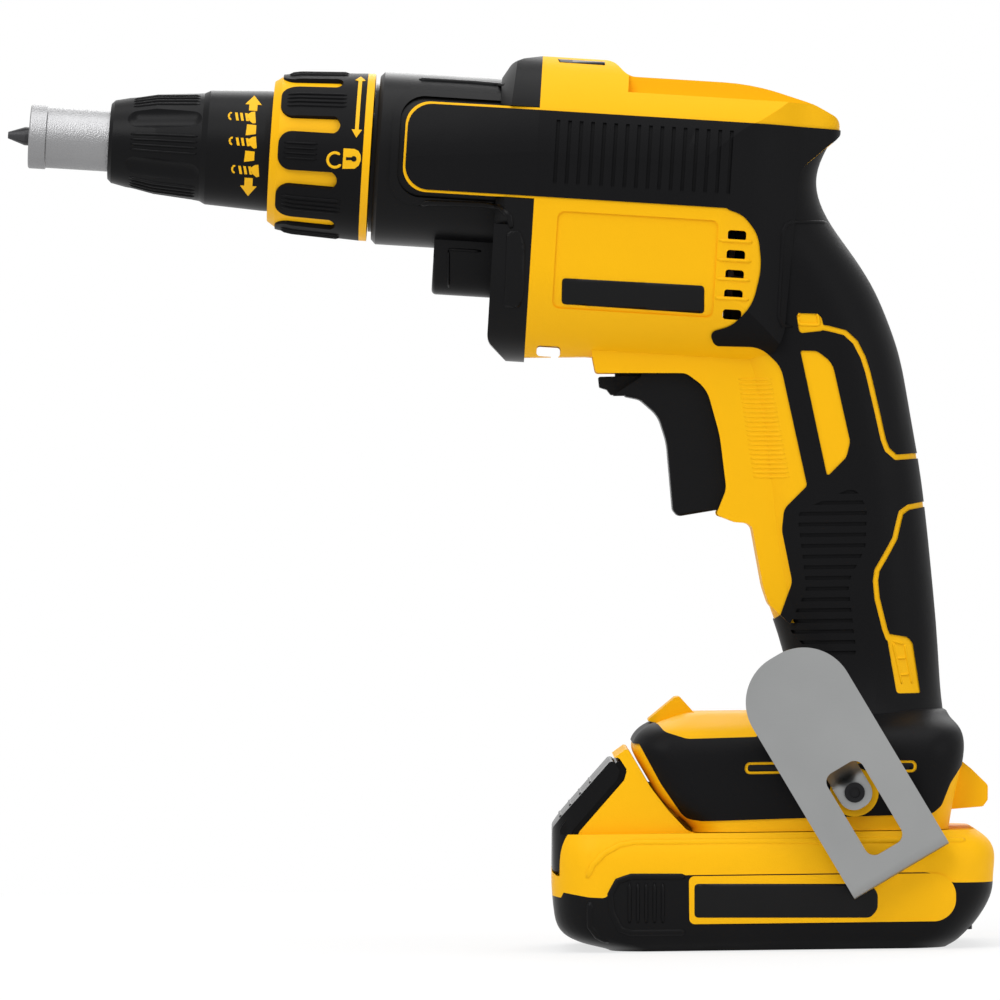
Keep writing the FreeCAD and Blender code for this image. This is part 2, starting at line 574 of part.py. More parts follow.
def make_bit():
    """Phillips bit: hex shank, round neck and fluted point."""
    tip = d.locator_front - d.bit_reach
    shank = tip + d.bit_point_length + d.bit_neck_length
    hexagonal = Part.Face(Part.makePolygon([Vector(shank, value(y), value(z))
                                            for y, z in hexagon("hex_across")]
                                           + [Vector(shank, value(hexagon("hex_across")[0][0]), 0)]))
    stem = hexagonal.extrude(Vector(tip + d.bit_length - shank, 0, 0))
    neck = bar(tip + d.bit_point_length, shank, d.bit_neck_r)
    point = Part.makeCone(d.bit_point_r, d.bit_neck_r, d.bit_point_length, Vector(tip, 0, 0), Vector(1, 0, 0))
    flute = block((tip - d.overrun, tip + d.bit_point_length + d.bit_flute),
                  (d.bit_flute / 2, d.overrun), (d.bit_flute / 2, d.overrun))
    flute.rotate(Vector(tip, d.bit_flute / 2, d.bit_flute / 2), Vector(0, 1, -1), -d.bit_flute_angle)
    solid("driver_bit", joined([stem, neck, point]).cut(repeated(flute, d.bit_flutes)), "barrel")


def make_nose():
    """Bit holder, locator, sleeve and depth collar, all about the barrel axis."""
    front = "(locator_front + holder_inset)"
    shoulder = f"({front} + holder_length)"
    holder = revolved("bit_holder", [(front, "0"), (front, "holder_r - collar_chamfer"),
                                     (f"{front} + collar_chamfer", "holder_r"), (shoulder, "holder_r"),
                                     (shoulder, "0")])
    pad(holder, hexagon("hex_across"), shoulder, "holder_shank")
    pocket(holder, hexagon("hex_across"), front, "bit_length - bit_reach - holder_inset")

    bore = "(locator_r - locator_wall)"
    lip = "(locator_front + locator_lip)"
    revolved("nose_locator", [("locator_front", bore), ("locator_front", "locator_lip_r - slide_gap"),
                              ("locator_front + slide_gap", "locator_lip_r"), (lip, "locator_lip_r"),
                              (f"{lip} + slide_gap", "locator_r"),
                              ("locator_front + locator_length", "locator_r"),
                              ("locator_front + locator_length", bore)])

    guide = "(locator_r + slide_gap)"
    step = "(-neck_length - sleeve_step)"
    skirt = "(-ring_gap - ring_hub - slide_gap)"
    revolved("nose_sleeve", [("sleeve_front", guide), ("sleeve_front", f"{guide} + sleeve_wall"),
                             (step, f"{guide} + sleeve_wall"), (step, "neck_r + run_gap + sleeve_wall"),
                             (skirt, "neck_r + run_gap + sleeve_wall"), (skirt, "neck_r + run_gap"),
                             ("-neck_length - seat_gap", "neck_r + run_gap"),
                             ("-neck_length - seat_gap", guide)])

    rear = "(collar_front + collar_length)"
    cone = "(collar_front + collar_cone_length)"
    inside = f"({guide} + sleeve_wall + slide_gap)"
    wide = "(neck_r + run_gap + sleeve_wall + slide_gap)"
    turned = revolved("collar_blank", [
        ("collar_front", guide), ("collar_front", "collar_front_r - collar_chamfer"),
        ("collar_front + collar_chamfer", "collar_front_r"),
        (f"{cone} - collar_cone_length / 2", "collar_cone_r - slide_gap * 3"),
        (cone, "collar_cone_r"), (f"{cone} + collar_band_step", "collar_band_r - collar_band_step / 2"),
        (f"{rear} - collar_length / 4", "collar_band_r"), (rear, "collar_band_r"), (rear, wide),
        (f"{step} - seat_gap", wide), (f"{step} - seat_gap", inside),
        ("sleeve_front - seat_gap", inside), ("sleeve_front - seat_gap", guide)])
    doc.recompute()
    slope = math.atan2(d.collar_cone_r - d.collar_front_r, d.collar_cone_length)
    mid = Vector(d.collar_front + d.collar_cone_length / 2 + 2 * d.collar_chamfer, 0,
                 d.collar_cone_r - 3 * d.slide_gap + d.flute_r - d.flute_depth)
    direction = Vector(math.cos(slope), 0, math.sin(slope))
    start = mid - direction * (d.flute_length / 2)
    end = mid + direction * (d.flute_length / 2)
    flute = joined([Part.makeCylinder(d.flute_r, d.flute_length, start, direction),
                    Part.makeSphere(d.flute_r, start), Part.makeSphere(d.flute_r, end)])
    solid("depth_collar", turned.Shape.copy().cut([in_world(cut) for cut in repeated(flute, d.flute_count)]))
    turned.Label = "blank_collar"


def make_ring():
    """Lock ring and the lobed rubber grip moulded round it."""
    rear = -d.ring_gap
    front = rear - d.ring_length
    base_r = d.ring_r - d.ring_grip
    bore = d.collar_band_r + 2 * d.seat_gap
    hub = d.neck_r + d.slide_gap
    grip_front = front + d.lobe_front
    grip_rear = rear - d.ring_band
    profile = [(front, bore), (front, d.ring_front_r), (front + d.ring_chamfer, d.ring_shoulder_r),
               (grip_rear, base_r), (grip_rear, d.ring_r), (rear, d.ring_r), (rear, hub),
               (rear - d.ring_hub, hub), (rear - d.ring_hub, bore)]
    layer = [(grip_front, bore), (grip_front, d.lobe_front_r), (grip_front + d.lobe_rise, d.lobe_rise_r),
             (grip_rear, d.ring_r), (grip_rear, bore)]
    ring, sleeve = (Part.Face(Part.makePolygon([Vector(x, 0, r) for x, r in corners + corners[:1]])).revolve(
        Vector(0, 0, 0), Vector(1, 0, 0), 360) for corners in (profile, layer))
    half = math.pi * d.ring_r / d.finger_count - d.finger_width / 2
    reach = front + d.finger_reach
    outside = -d.ring_r - d.overrun
    lobe = prism([(grip_front, -half, d.lobe_round), (grip_front, half, d.lobe_round), (reach, half, 0),
                  (reach, -half, 0)], outside, 0)
    finger_end = upright(Vector(reach - d.finger_width / 2, 0, 0), outside, 0, d.finger_width / 2)
    finger_end.rotate(Vector(0, 0, 0), Vector(1, 0, 0), 180.0 / d.finger_count)
    band = bar(reach - d.finger_width / 2, grip_rear, -outside).cut(repeated(finger_end, d.finger_count))
    grip = sleeve.common(joined([band] + repeated(lobe, d.finger_count))).cut(ring)
    solid("lock_ring", ring, "barrel")
    solid("lock_ring_grip", grip, "barrel")


def make_spindle():
    """Spindle with its jaw clutch, the drive gear on it, their bearings and the spring between them."""
    rear = "(spindle_flange + flange_length)"
    spindle = revolved("spindle", [
        ("spindle_front", "0"), ("spindle_front", "spindle_r - collar_chamfer"),
        ("spindle_front + collar_chamfer", "spindle_r"), ("spindle_flange", "spindle_r"),
        ("spindle_flange", "flange_r"), (rear, "flange_r"), (rear, "tail_r"),
        (f"{rear} + tail_length", "tail_r"), (f"{rear} + tail_length", "0")])
    pocket(spindle, hexagon("hex_across"), "spindle_front", "holder_shank + slide_gap * 2")
    doc.recompute()
    jaw_start = d.spindle_flange + d.flange_length
    blank = spindle.Shape.copy()
    spindle.Label = "blank_spindle"
    solid("spindle", joined([blank, in_world(jaws(jaw_start - d.slide_gap, jaw_start + d.jaw_length, 0))]))

    nose_start = d.gear_front - d.gear_nose_length
    jaw_front = jaw_start + d.jaw_length + d.jaw_gap
    bore = d.tail_r + d.run_gap
    hub = bar(nose_start, d.gear_front, d.flange_r).cut(bar(nose_start, d.gear_front, bore))
    tail_end = d.gear_front + d.gear_width + d.gear_hub_length
    tail = bar(d.gear_front + d.gear_width, tail_end, d.gear_hub_r).cut(bar(d.gear_front, tail_end, bore))
    gap_down = math.pi / d.gear_teeth - math.pi / 2
    wheel = toothed(d.gear_teeth, d.gear_width, d.gear_front, bore, gap_down)
    half_turn = 180.0 / d.jaw_count
    solid("drive_gear", joined([wheel, hub, tail, jaws(jaw_front, nose_start + d.slide_gap, half_turn)]),
          "barrel")

    solid("clutch_spring", coil(jaw_start, nose_start, d.clutch_spring_r, d.clutch_wire, d.clutch_turns),
          "barrel")
    front_end = "(-front_bearing_inset)"
    revolved("spindle_front_bearing", tube(f"{front_end} - front_bearing_length", front_end,
                                           "spindle_r + run_gap", "front_bearing_r"))
    plate = "(case_length + spigot_length + seat_gap * 5)"
    revolved("spindle_rear_bearing", tube(plate, f"{plate} + rear_bearing_length", "gear_hub_r + run_gap",
                                          "rear_bearing_r"))


SPIGOT_R = d.body_half - d.wall - 2 * d.slide_gap
PINION_TIP = d.pinion_teeth * d.gear_module / 2 + d.tooth_addendum * d.gear_module
CHAMBER_R = d.gear_teeth * d.gear_module / 2 + d.tooth_addendum * d.gear_module + d.trigger_gap
COVER_FRONT = d.case_length + d.spigot_length


def inner_outline(start, end):
    """Solid with the gear chamber's outline: a round with the pinion's boss below it."""
    boss_r = PINION_TIP + d.case_wall + d.trigger_gap
    web = block((start, end), (-boss_r, boss_r), (AXIS_Z, 0))
    return joined([bar(start, end, SPIGOT_R), bar(start, end, boss_r, 0, AXIS_Z), web])


# Upper front of the case's shoulder and lower front of its big boss: shares of the case's length, of the
# hump's height and of the hump's rounding
SHOULDER_SHARES = [(1.000, -1.900, 0), (1.000, 1.000, 0), (0.885, 0.967, 0.6), (0.811, 0.916, 0.6),
                   (0.755, 0.779, 0), (0.762, 0.000, 0), (0.762, -1.590, 0.8), (0.885, -1.757, 1.2)]


def bezel():
    """Low rim on both sides of the gear case around the housing's tongues."""
    rim = prism(tongue_outline(d.bezel_gap + d.bezel_width), -WIDE, WIDE)
    rim = rim.cut(prism(tongue_outline(d.bezel_gap), -WIDE, WIDE))
    return bar(d.case_edge, d.case_length, d.case_r + d.bezel_rise).common(rim)


def make_gear_case():
    """Gear case with its neck, bosses, spigot and chambers, and the cover that closes it."""
    neck = joined([bar(-d.neck_length, 0, d.neck_r), bar(d.slide_gap - d.ring_gap, 0, d.stop_r)])
    drum = bar(0, d.case_length, d.case_r)
    drum = drum.makeChamfer(d.case_edge, [edge for edge in drum.Edges if edge.BoundBox.XMax < d.seat_gap])
    left = arch_form(d.case_length - d.body_length / 6, d.case_length, 0)
    section = joined([left, mirrored(left)])
    side = prism([(along * d.case_length, up * d.hump_top, turn * d.hump_round)
                  for along, up, turn in SHOULDER_SHARES], -d.body_half - d.overrun, d.body_half + d.overrun)
    shoulder = section.common(side)
    slope = Part.makeCone(d.case_r - d.case_shoulder, d.body_half + 3 * d.case_shoulder,
                          d.case_length - d.big_boss_front, Vector(d.big_boss_front - d.case_shoulder, 0, 0),
                          Vector(1, 0, 0))
    slope = joined([slope, block((0, d.case_length), (-d.overrun * 2, d.overrun * 2),
                                 (AXIS_Z - d.motor_case_r - d.overrun, AXIS_Z + d.small_boss_r)),
                    bar(d.case_length - d.case_shoulder, d.case_length, d.body_half + d.overrun)])
    shoulder = shoulder.common(slope)
    boss = bar(d.small_boss_front, d.case_length, d.small_boss_r, 0, AXIS_Z)
    boss_front = d.small_boss_front + d.seat_gap
    boss = boss.makeFillet(d.case_edge, [edge for edge in boss.Edges if edge.BoundBox.XMax < boss_front])
    web = block((d.small_boss_front, d.case_length), (-d.small_boss_r, d.small_boss_r), (AXIS_Z, 0))
    spigot = inner_outline(d.case_length - d.case_wall, COVER_FRONT)
    case = joined([neck, drum, shoulder, boss, web, spigot, bezel()])

    bearing_front = -d.front_bearing_inset - d.front_bearing_length
    shaft_seat = d.shaft_front + d.slide_gap * 2
    light_z = AXIS_Z - d.light_drop
    chambers = [
        bar(-d.neck_length - d.overrun, COVER_FRONT, d.spindle_r + 2 * d.slide_gap),
        bar(bearing_front, -d.front_bearing_inset, d.front_bearing_r),
        bar(-d.front_bearing_inset, COVER_FRONT, d.flange_r + d.trigger_gap),
        bar(d.gear_front - 5 * d.slide_gap, COVER_FRONT + d.overrun, CHAMBER_R),
        bar(shaft_seat, COVER_FRONT + d.overrun, d.motor_bearing_r, 0, AXIS_Z),
        bar(shaft_seat - 2 * d.slide_gap, shaft_seat, d.shaft_r + d.trigger_gap, 0, AXIS_Z),
        bar(0, d.big_boss_front + d.light_depth, d.light_r, 0, light_z),
        bar(0, COVER_FRONT, d.screw_r, 0, light_z),
    ]
    recess = prism(tongue_outline(d.seat_gap), -WIDE, WIDE).cut(bar(0, d.case_length, d.case_r))
    solid("gear_case", case.cut(chambers + [recess]), "barrel")

    cover_rear = COVER_FRONT + d.cover_plate
    plate_rear = COVER_FRONT + d.case_wall
    cover = joined([inner_outline(COVER_FRONT, plate_rear),
                    bar(COVER_FRONT, cover_rear, d.rear_bearing_r + d.case_wall)])
    seat = COVER_FRONT + 5 * d.seat_gap
    holes = [bar(seat, cover_rear + d.overrun, d.rear_bearing_r),
             bar(0, cover_rear, d.gear_hub_r + d.trigger_gap),
             bar(0, cover_rear, PINION_TIP + d.slide_gap, 0, AXIS_Z)]
    solid("gear_cover", cover.cut(holes), "barrel")
    return light_z


def make_light(light_z):
    """Work light: a lens in the front of the big boss with its board behind."""
    front = d.big_boss_front + d.light_depth
    lens = joined([bar(d.big_boss_front + d.light_depth / 4, front - d.light_board, d.light_r, 0, light_z)])
    lens = lens.makeChamfer(d.light_r / 4, [edge for edge in lens.Edges if edge.Closed
                                            and edge.BoundBox.XMax < d.big_boss_front + d.light_depth / 3])
    solid("work_light_lens", lens, "barrel")
    solid("work_light_board", bar(front - d.light_board, front, d.light_r, 0, light_z), "barrel")


def make_motor():
    """Motor: shaft, pinion, rotor, wound stator, sensor board, fan and bearings about the motor axis."""
    shaft_end = "(shaft_front + shaft_length)"
    stack_end = "(motor_front + stack_length)"
    revolved("motor_shaft", [("shaft_front", "0"), ("shaft_front", "shaft_r - slide_gap"),
                             ("shaft_front + slide_gap", "shaft_r"), (shaft_end, "shaft_r"),
                             (shaft_end, "0")], "motor")
    solid("motor_pinion", toothed(d.pinion_teeth, d.gear_width + 2 * d.pinion_overhang,
                                  d.gear_front - d.pinion_overhang, d.shaft_r, math.pi / 2), "motor")
    revolved("rotor", tube("motor_front", stack_end, "shaft_r", "rotor_r"), "motor")

    start = d.motor_front
    end = start + d.stack_length
    bore = d.rotor_r + d.air_gap
    shoe = bar(start, end, bore + d.pole_shoe).cut(bar(start, end, bore))
    ring = bar(start, end, d.stator_r).cut(bar(start, end, d.stator_r - d.stator_ring))
    pole = block((start, end), (-d.pole_width / 2, d.pole_width / 2),
                 (bore + d.pole_shoe / 2, d.stator_r - d.stator_ring / 2))
    opening = block((start, end), (-d.slot_opening / 2, d.slot_opening / 2), (0, bore + 2 * d.pole_shoe))
    openings = repeated(opening, d.pole_count)
    for cut in openings:
        cut.rotate(Vector(0, 0, 0), Vector(1, 0, 0), 180.0 / d.pole_count)
    stator = joined([ring] + repeated(pole, d.pole_count) + [shoe.cut(openings)])
    solid("stator", stator, "motor")

    outer = d.stator_r - d.stator_ring
    inner = bore + d.pole_shoe
    low = start - d.winding_overhang
    high = end + d.winding_overhang
    wound = bar(low, high, outer).cut(bar(low, high, inner))
    gap = block((low, high), (-d.slot_opening / 2, d.slot_opening / 2), (0, d.stator_r))
    gaps = repeated(gap, d.pole_count)
    for cut in gaps:
        cut.rotate(Vector(0, 0, 0), Vector(1, 0, 0), 180.0 / d.pole_count)
    solid("windings", wound.cut([stator] + gaps), "motor")
    revolved("sensor_board", tube("motor_front - winding_overhang - sensor_board",
                                  "motor_front - winding_overhang", "rotor_r", "stator_r - stator_ring"),
             "motor")

    fan_end = d.fan_front + d.fan_length
    hub = bar(d.fan_front, fan_end, d.fan_hub_r)
    disc = bar(d.fan_front, d.fan_front + d.fan_disc, d.fan_r)
    blade = block((d.fan_front, fan_end), (-d.fan_blade / 2, d.fan_blade / 2),
                  (d.fan_hub_r - d.fan_blade, d.fan_r))
    blade.rotate(Vector(0, 0, d.fan_r / 2), Vector(1, 0, 0), d.fan_blade_angle)
    blades = Part.makeCompound(repeated(blade, d.fan_blades)).common(bar(d.fan_front, fan_end, d.fan_r))
    solid("fan", joined([hub, disc] + blades.Solids).cut(bar(d.fan_front, fan_end, d.shaft_r)), "motor")
    seat = "(shaft_front + slide_gap * 2)"
    revolved("motor_front_bearing", tube(seat, f"{seat} + motor_bearing_length", "shaft_r + run_gap",
                                         "motor_bearing_r"), "motor")
    revolved("motor_rear_bearing", tube("tail_bearing_front", "tail_bearing_front + motor_bearing_length",
                                        "shaft_r + run_gap", "tail_bearing_r"), "motor")


def module_box(grow):
    """Outer box of the control module, in the barrel frame."""
    half = d.module_width / 2 + grow
    return block((d.module_front - grow, d.module_front + d.module_length + grow), (-half, half),
                 (-d.module_floor - grow, d.module_height - d.module_floor + grow))


def make_module():
    """Control module: a potted tray with a row of fins on its underside edge."""
    tray = module_box(0)
    top = d.module_height - d.module_floor
    well = block((d.module_front + d.module_wall, d.module_front + d.module_length - d.module_wall),
                 (-d.module_width / 2 + d.module_wall, d.module_width / 2 - d.module_wall),
                 (top - d.potting_drop, top + d.overrun))
    solid("control_module", tray.cut(well), "barrel")


# Rubber grip seen from the side, in world shares of the handle's reach and height: first the edge along the
# yellow side and trigger panels from the top down, then round the foot and up behind the handle
GRIP_SHARES = [(-0.300, 1.262, 0), (-0.200, 1.237, 0), (-0.117, 1.228, 0.48), (-0.030, 1.196, 0.6),
               (-0.012, 1.140, 1.19), (-0.068, 1.077, 0.83), (-0.190, 1.043, 0.48), (-0.320, 1.033, 0.12),
               (-0.290, 1.010, 0.12), (-0.020, 1.007, 0.48), (0.095, 0.975, 0.48), (0.240, 0.774, 0.09),
               (0.105, 0.736, 0.24), (0.090, 0.700, 0.36), (0.147, 0.612, 0.3), (0.075, 0.557, 0.06),
               (-0.050, 0.530, 0), (0.030, 0.420, 0), (-0.090, 0.394, 0.06), (-0.065, 0.356, 0.06),
               (-0.480, 0.354, 0.36), (-0.610, 0.366, 0.18), (-0.645, 0.378, 0.06), (-0.760, 0.386, 0),
               (-0.950, 0.390, 0), (-0.950, 0.350, 0), (-0.758, 0.346, 0), (-0.636, 0.279, 1.19),
               (-0.500, 0.220, 0.36), (-0.400, 0.216, 0.12), (0.930, 0.224, 0.18), (0.985, 0.237, 0.18),
               (1.040, 0.275, 0.36), (1.130, 0.312, 0), (1.400, 0.320, 0), (1.400, 1.420, 0),
               (-0.300, 1.420, 0)]
# Yellow patches left open in the grip, and the bands that frame them
PATCH_SHARES = [[(0.186, 1.064, 0.06), (0.330, 1.062, 0.12), (0.352, 1.034, 0.06), (0.206, 1.030, 0.06)],
                [(0.209, 1.001, 0.03), (0.306, 1.000, 0.18), (0.395, 0.980, 0.36), (0.493, 0.847, 0.24),
                 (0.470, 0.821, 0.18), (0.357, 0.789, 0.03)],
                [(0.689, 0.525, 0.06), (0.815, 0.518, 0.12), (0.844, 0.508, 0.12), (0.885, 0.424, 0.03),
                 (0.744, 0.424, 0.06)],
                [(-0.152, 0.294, 0.09), (-0.152, 0.314, 0.09), (0.842, 0.314, 0.09), (0.842, 0.294, 0.09)]]
PIPE_SHARES = [[(0.307, 1.041), (0.382, 1.037), (0.471, 1.030), (0.530, 1.014), (0.574, 0.989),
                (0.602, 0.963), (0.652, 0.898), (0.687, 0.850), (0.709, 0.833), (0.761, 0.820),
                (0.872, 0.822), (1.000, 0.824)],
               [(1.000, 0.743), (0.914, 0.740), (0.831, 0.736), (0.786, 0.727), (0.768, 0.708),
                (0.747, 0.684), (0.694, 0.657), (0.640, 0.631), (0.630, 0.614), (0.638, 0.584),
                (0.681, 0.532), (0.700, 0.517)]]
# Ribbed palm pad, and its ribs' first and last height
PALM_SHARES = [(0.180, 0.730, 0.18), (0.520, 0.772, 0.18), (0.585, 0.735, 0.24), (0.575, 0.670, 0.36),
               (0.470, 0.610, 0.48), (0.520, 0.480, 0.18), (0.290, 0.480, 0.18), (0.120, 0.535, 0.18),
               (0.230, 0.600, 0.36)]
PALM_RIB_SHARES = (0.760, 0.490)
PALM_RIBS = 16
# Tabs that stand out of the foot at its front and back
TAB_SHARES = [[(-0.699, 0.370, 0), (-0.699, 0.384, 0.06), (-0.541, 0.421, 0.06), (-0.513, 0.422, 0.06),
               (-0.431, 0.395, 0.1), (-0.260, 0.350, 0), (-0.541, 0.350, 0)],
              [(0.996, 0.312, 0), (1.106, 0.312, 0.1), (1.169, 0.297, 0.1), (1.266, 0.269, 0.1),
               (1.264, 0.244, 0.05), (1.236, 0.233, 0.05), (0.996, 0.228, 0)]]
BOSS_SHARES = [(0.350, 1.112), (0.700, 0.672), (0.590, 0.460), (-0.540, 0.322), (0.985, 0.318)]





def pipe_region(shares, half):
    """Prism of a narrow band that follows a side-view line."""
    points = [Vector(x, 0, z) for x, z in (grip_point(*share) for share in shares)]
    bands = []
    for start, end in zip(points, points[1:]):
        along = (end - start).normalize()
        side = Vector(-along.z, 0, along.x) * half
        corners = [start + side, end + side, end - side, start - side]
        bands.append(prism([(p.x, p.z, 0) for p in corners], -WIDE - half, d.overrun + half))
        bands.append(upright(end, -WIDE - half, d.overrun + half, half))
    return joined(bands)


def panel_region():
    """Prism of the side panel's rubber over the tongue and the body, in the barrel frame."""
    front = d.panel_front + d.pinstripe
    back = BODY_BACK + d.overrun
    low = d.pinstripe - d.panel_bottom
    high = d.panel_top - d.pinstripe
    return prism([(front, low, d.panel_corner), (front, high, d.panel_corner), (back, high, 0),
                  (back, low, 0)], -WIDE, d.overrun)


def screw_spots():
    """Side-view points of the housing screws."""
    upper = [(d.motor_front + d.pinion_overhang, d.body_top - d.spine_drop - d.rubber),
             (d.module_front + d.module_length + d.screw_boss_r + d.case_edge, d.body_top / 2)]
    spots = [BARREL.multVec(Vector(x, 0, z)) for x, z in upper]
    return spots + [Vector(x, 0, z) for x, z in (grip_point(*share) for share in BOSS_SHARES)]


HOOK_TURN = Rotation(Vector(0, 1, 0), -d.hook_angle)
HOOK_PLACE = Placement(Vector(d.hook_top_x, 0, d.hook_top_z), HOOK_TURN)
HOOK_SPOT = HOOK_PLACE.multVec(Vector(0, 0, -d.hook_tab_reach))
HOOK_PAD = d.foot_half + d.rubber_rise + d.seat_gap


def rubber_zone():
    """Everything on the left that the rubber grip covers, as prisms across the tool."""
    zone = joined([region(GRIP_SHARES, -WIDE, d.overrun), in_world(panel_region())])
    open_zones = [region(shares, -WIDE - d.wall, d.overrun + d.wall) for shares in PATCH_SHARES]
    open_zones += [pipe_region(shares, d.pipe_width / 2) for shares in PIPE_SHARES]
    open_zones.append(in_world(block((0, BODY_BACK + d.overrun), (-WIDE - d.wall, d.overrun + d.wall),
                                     (d.panel_top - d.pinstripe, d.hump_top + d.overrun))))
    open_zones.append(upright(HOOK_SPOT, -WIDE - d.wall, -d.channel_half, d.hook_pad_r))
    return zone.cut(open_zones)


def grip_grooves():
    """Grooves of the side panel and of the palm pad, cut to one depth below the rubber's surface."""
    depth = d.rubber_rise - d.groove_depth
    bars = []
    for k in range(int(d.groove_count)):
        start = d.groove_front + k * d.groove_pitch
        bars.append(block((start, start + d.groove_width), (-WIDE, 0),
                          (-d.panel_bottom / 2, d.panel_top - 3 * d.groove_width)))
    panel = in_world(Part.makeCompound(bars).cut(body_form(depth)))
    low, high = (share * d.handle_height for share in PALM_RIB_SHARES)
    pitch = (high - low) / (PALM_RIBS - 1)
    slabs = [block((-d.handle_reach, 2 * d.handle_reach), (-WIDE, 0),
                   (low + k * pitch, low + k * pitch + d.groove_width)) for k in range(PALM_RIBS)]
    palm = Part.makeCompound(slabs).common(region(PALM_SHARES, -WIDE, 0)).cut(handle_form(depth))
    return [panel, palm]


def inside_ribs():
    """Bosses and cradle ribs that stand in the left half's hollow."""
    ribs = [upright(spot, -WIDE, d.overrun, d.screw_boss_r) for spot in screw_spots()]
    low = AXIS_Z - d.motor_case_r - d.wall
    stack_end = d.motor_front + d.stack_length
    for start in (d.motor_front + d.rib_thickness, stack_end - 2 * d.rib_thickness):
        slab = block((start, start + d.rib_thickness), (-WIDE, d.overrun), (low, 0))
        ribs.append(in_world(slab.cut([bar(start, stack_end, d.stator_r, 0, AXIS_Z),
                                       module_box(d.seat_gap)])))
    cradle_low = AXIS_Z - d.tail_bearing_r - 2 * d.wall
    slab = block((d.tail_bearing_front, d.tail_bearing_front + d.motor_bearing_length), (-WIDE, d.overrun),
                 (cradle_low, 0))
    ribs.append(in_world(slab.cut(bar(0, BODY_BACK, d.tail_bearing_r, 0, AXIS_Z))))
    switch_low = d.trigger_z - d.switch_height / 2
    for start in (d.switch_front + 2 * d.rib_thickness,
                  d.switch_front + d.switch_length - 3 * d.rib_thickness):
        ribs.append(block((start, start + d.rib_thickness), (-WIDE, -d.switch_half),
                          (switch_low, switch_low + d.switch_height)))
    return ribs


def pack_channel():
    """Channel under the foot that the pack's rails slide into, with a lip along its side."""
    channel = block((d.tower_front - d.overrun, d.channel_back), (-d.channel_half, d.overrun),
                    (0, d.foot_base + d.channel_height))
    lip = block((d.foot_front + d.foot_length / 4, d.channel_back + d.wall),
                (-d.channel_half - d.wall, d.rail_lip - d.channel_half), (0, d.foot_base + d.rail_height))
    return channel.cut(lip)


def openings():
    """What is cut through the left half: trigger slot, pack channel, terminal seat, vents and window."""
    slot_half = d.trigger_half + d.trigger_gap
    slot_front = TRIGGER_PANEL_SHARES[0][0] * d.handle_reach - d.overrun
    slot_low = TRIGGER_PANEL_SHARES[6][1] * d.handle_height - d.trigger_gap
    channel_top = d.foot_base + d.channel_height
    cuts = [block((slot_front, d.switch_front), (-slot_half, d.overrun),
                  (slot_low, d.arm_top + d.seat_gap)), pack_channel(),
            block((d.block_front - d.seat_gap, d.block_front + d.block_length + d.seat_gap),
                  (-d.block_half - d.seat_gap, d.overrun),
                  (channel_top - d.wall, channel_top + d.block_height))]
    for k in range(int(d.vent_count)):
        z = AXIS_Z + (k - (d.vent_count - 1) / 2) * d.vent_pitch
        cuts.append(in_world(slot(d.vent_front, d.vent_length, z, d.vent_height, -d.fan_r)))
    window_z = AXIS_Z - d.motor_case_r + d.wall
    cuts.append(in_world(slot(d.case_length + d.wall, d.window_length, window_z, d.window_height, d.overrun)))
    return cuts


def side_recess():
    """Shallow recess in the yellow side below the panel."""
    high = -d.recess_top
    low = high - d.recess_height
    end = d.recess_front + d.recess_length
    outline = [(d.recess_front, low, d.recess_round), (d.recess_front, high, d.recess_round),
               (end, high, d.recess_round), (end, low, d.recess_round)]
    return in_world(prism(outline, -WIDE, -d.body_half / 2).cut(body_form(-d.recess_depth)))


def slot(start, length, z, height, inner):
    """Round-cornered slot through the left wall."""
    r = height / 3
    low = z - height / 2
    high = z + height / 2
    return prism([(start, low, r), (start, high, r), (start + length, high, r), (start + length, low, r)],
                 -WIDE, inner)


def make_housing():
    """Both housing halves, their rubber grips and the screws that hold them together."""
    pad = upright(HOOK_SPOT, -HOOK_PAD, -d.channel_half - d.wall, d.hook_pad_r)
    grip = rubber_zone().cut(housing_form(-d.rubber))
    hollow = joined([in_world(body_form(-d.wall)), handle_form(-d.wall)]).cut(inside_ribs())
    rubber = left_side(housing_form(d.rubber_rise).common(grip)).cut(grip_grooves() + [pack_channel()])
    tabs = [region(shares, -half, d.overrun / 2)
            for shares, half in zip(TAB_SHARES, (d.front_tab_half, d.rear_tab_half))]
    shell = left_side(joined([housing_form(0), pad] + tabs).cut([grip, hollow, side_recess()] + openings()))

    spots = screw_spots()
    seat = d.screw_length / 2
    wells = [upright(spot, seat, WIDE, d.screw_head_r + d.slide_gap) for spot in spots]
    hook_hole = upright(HOOK_SPOT, -WIDE, -d.channel_half - d.wall, d.hook_screw_r)
    solid("housing_left", shell.cut([upright(spot, -seat, 0, d.screw_r) for spot in spots] + [hook_hole]))
    solid("housing_right", mirrored(shell).cut([upright(spot, 0, seat, d.screw_r) for spot in spots] + wells
                                               + [mirrored(hook_hole)]))
    solid("grip_left", rubber)
    solid("grip_right", mirrored(rubber).cut(wells))
    screws = [joined([upright(spot, -seat, seat, d.screw_r),
                      upright(spot, seat, seat + d.screw_head, d.screw_head_r)]) for spot in spots]
    solid("housing_screws", Part.makeCompound(screws))


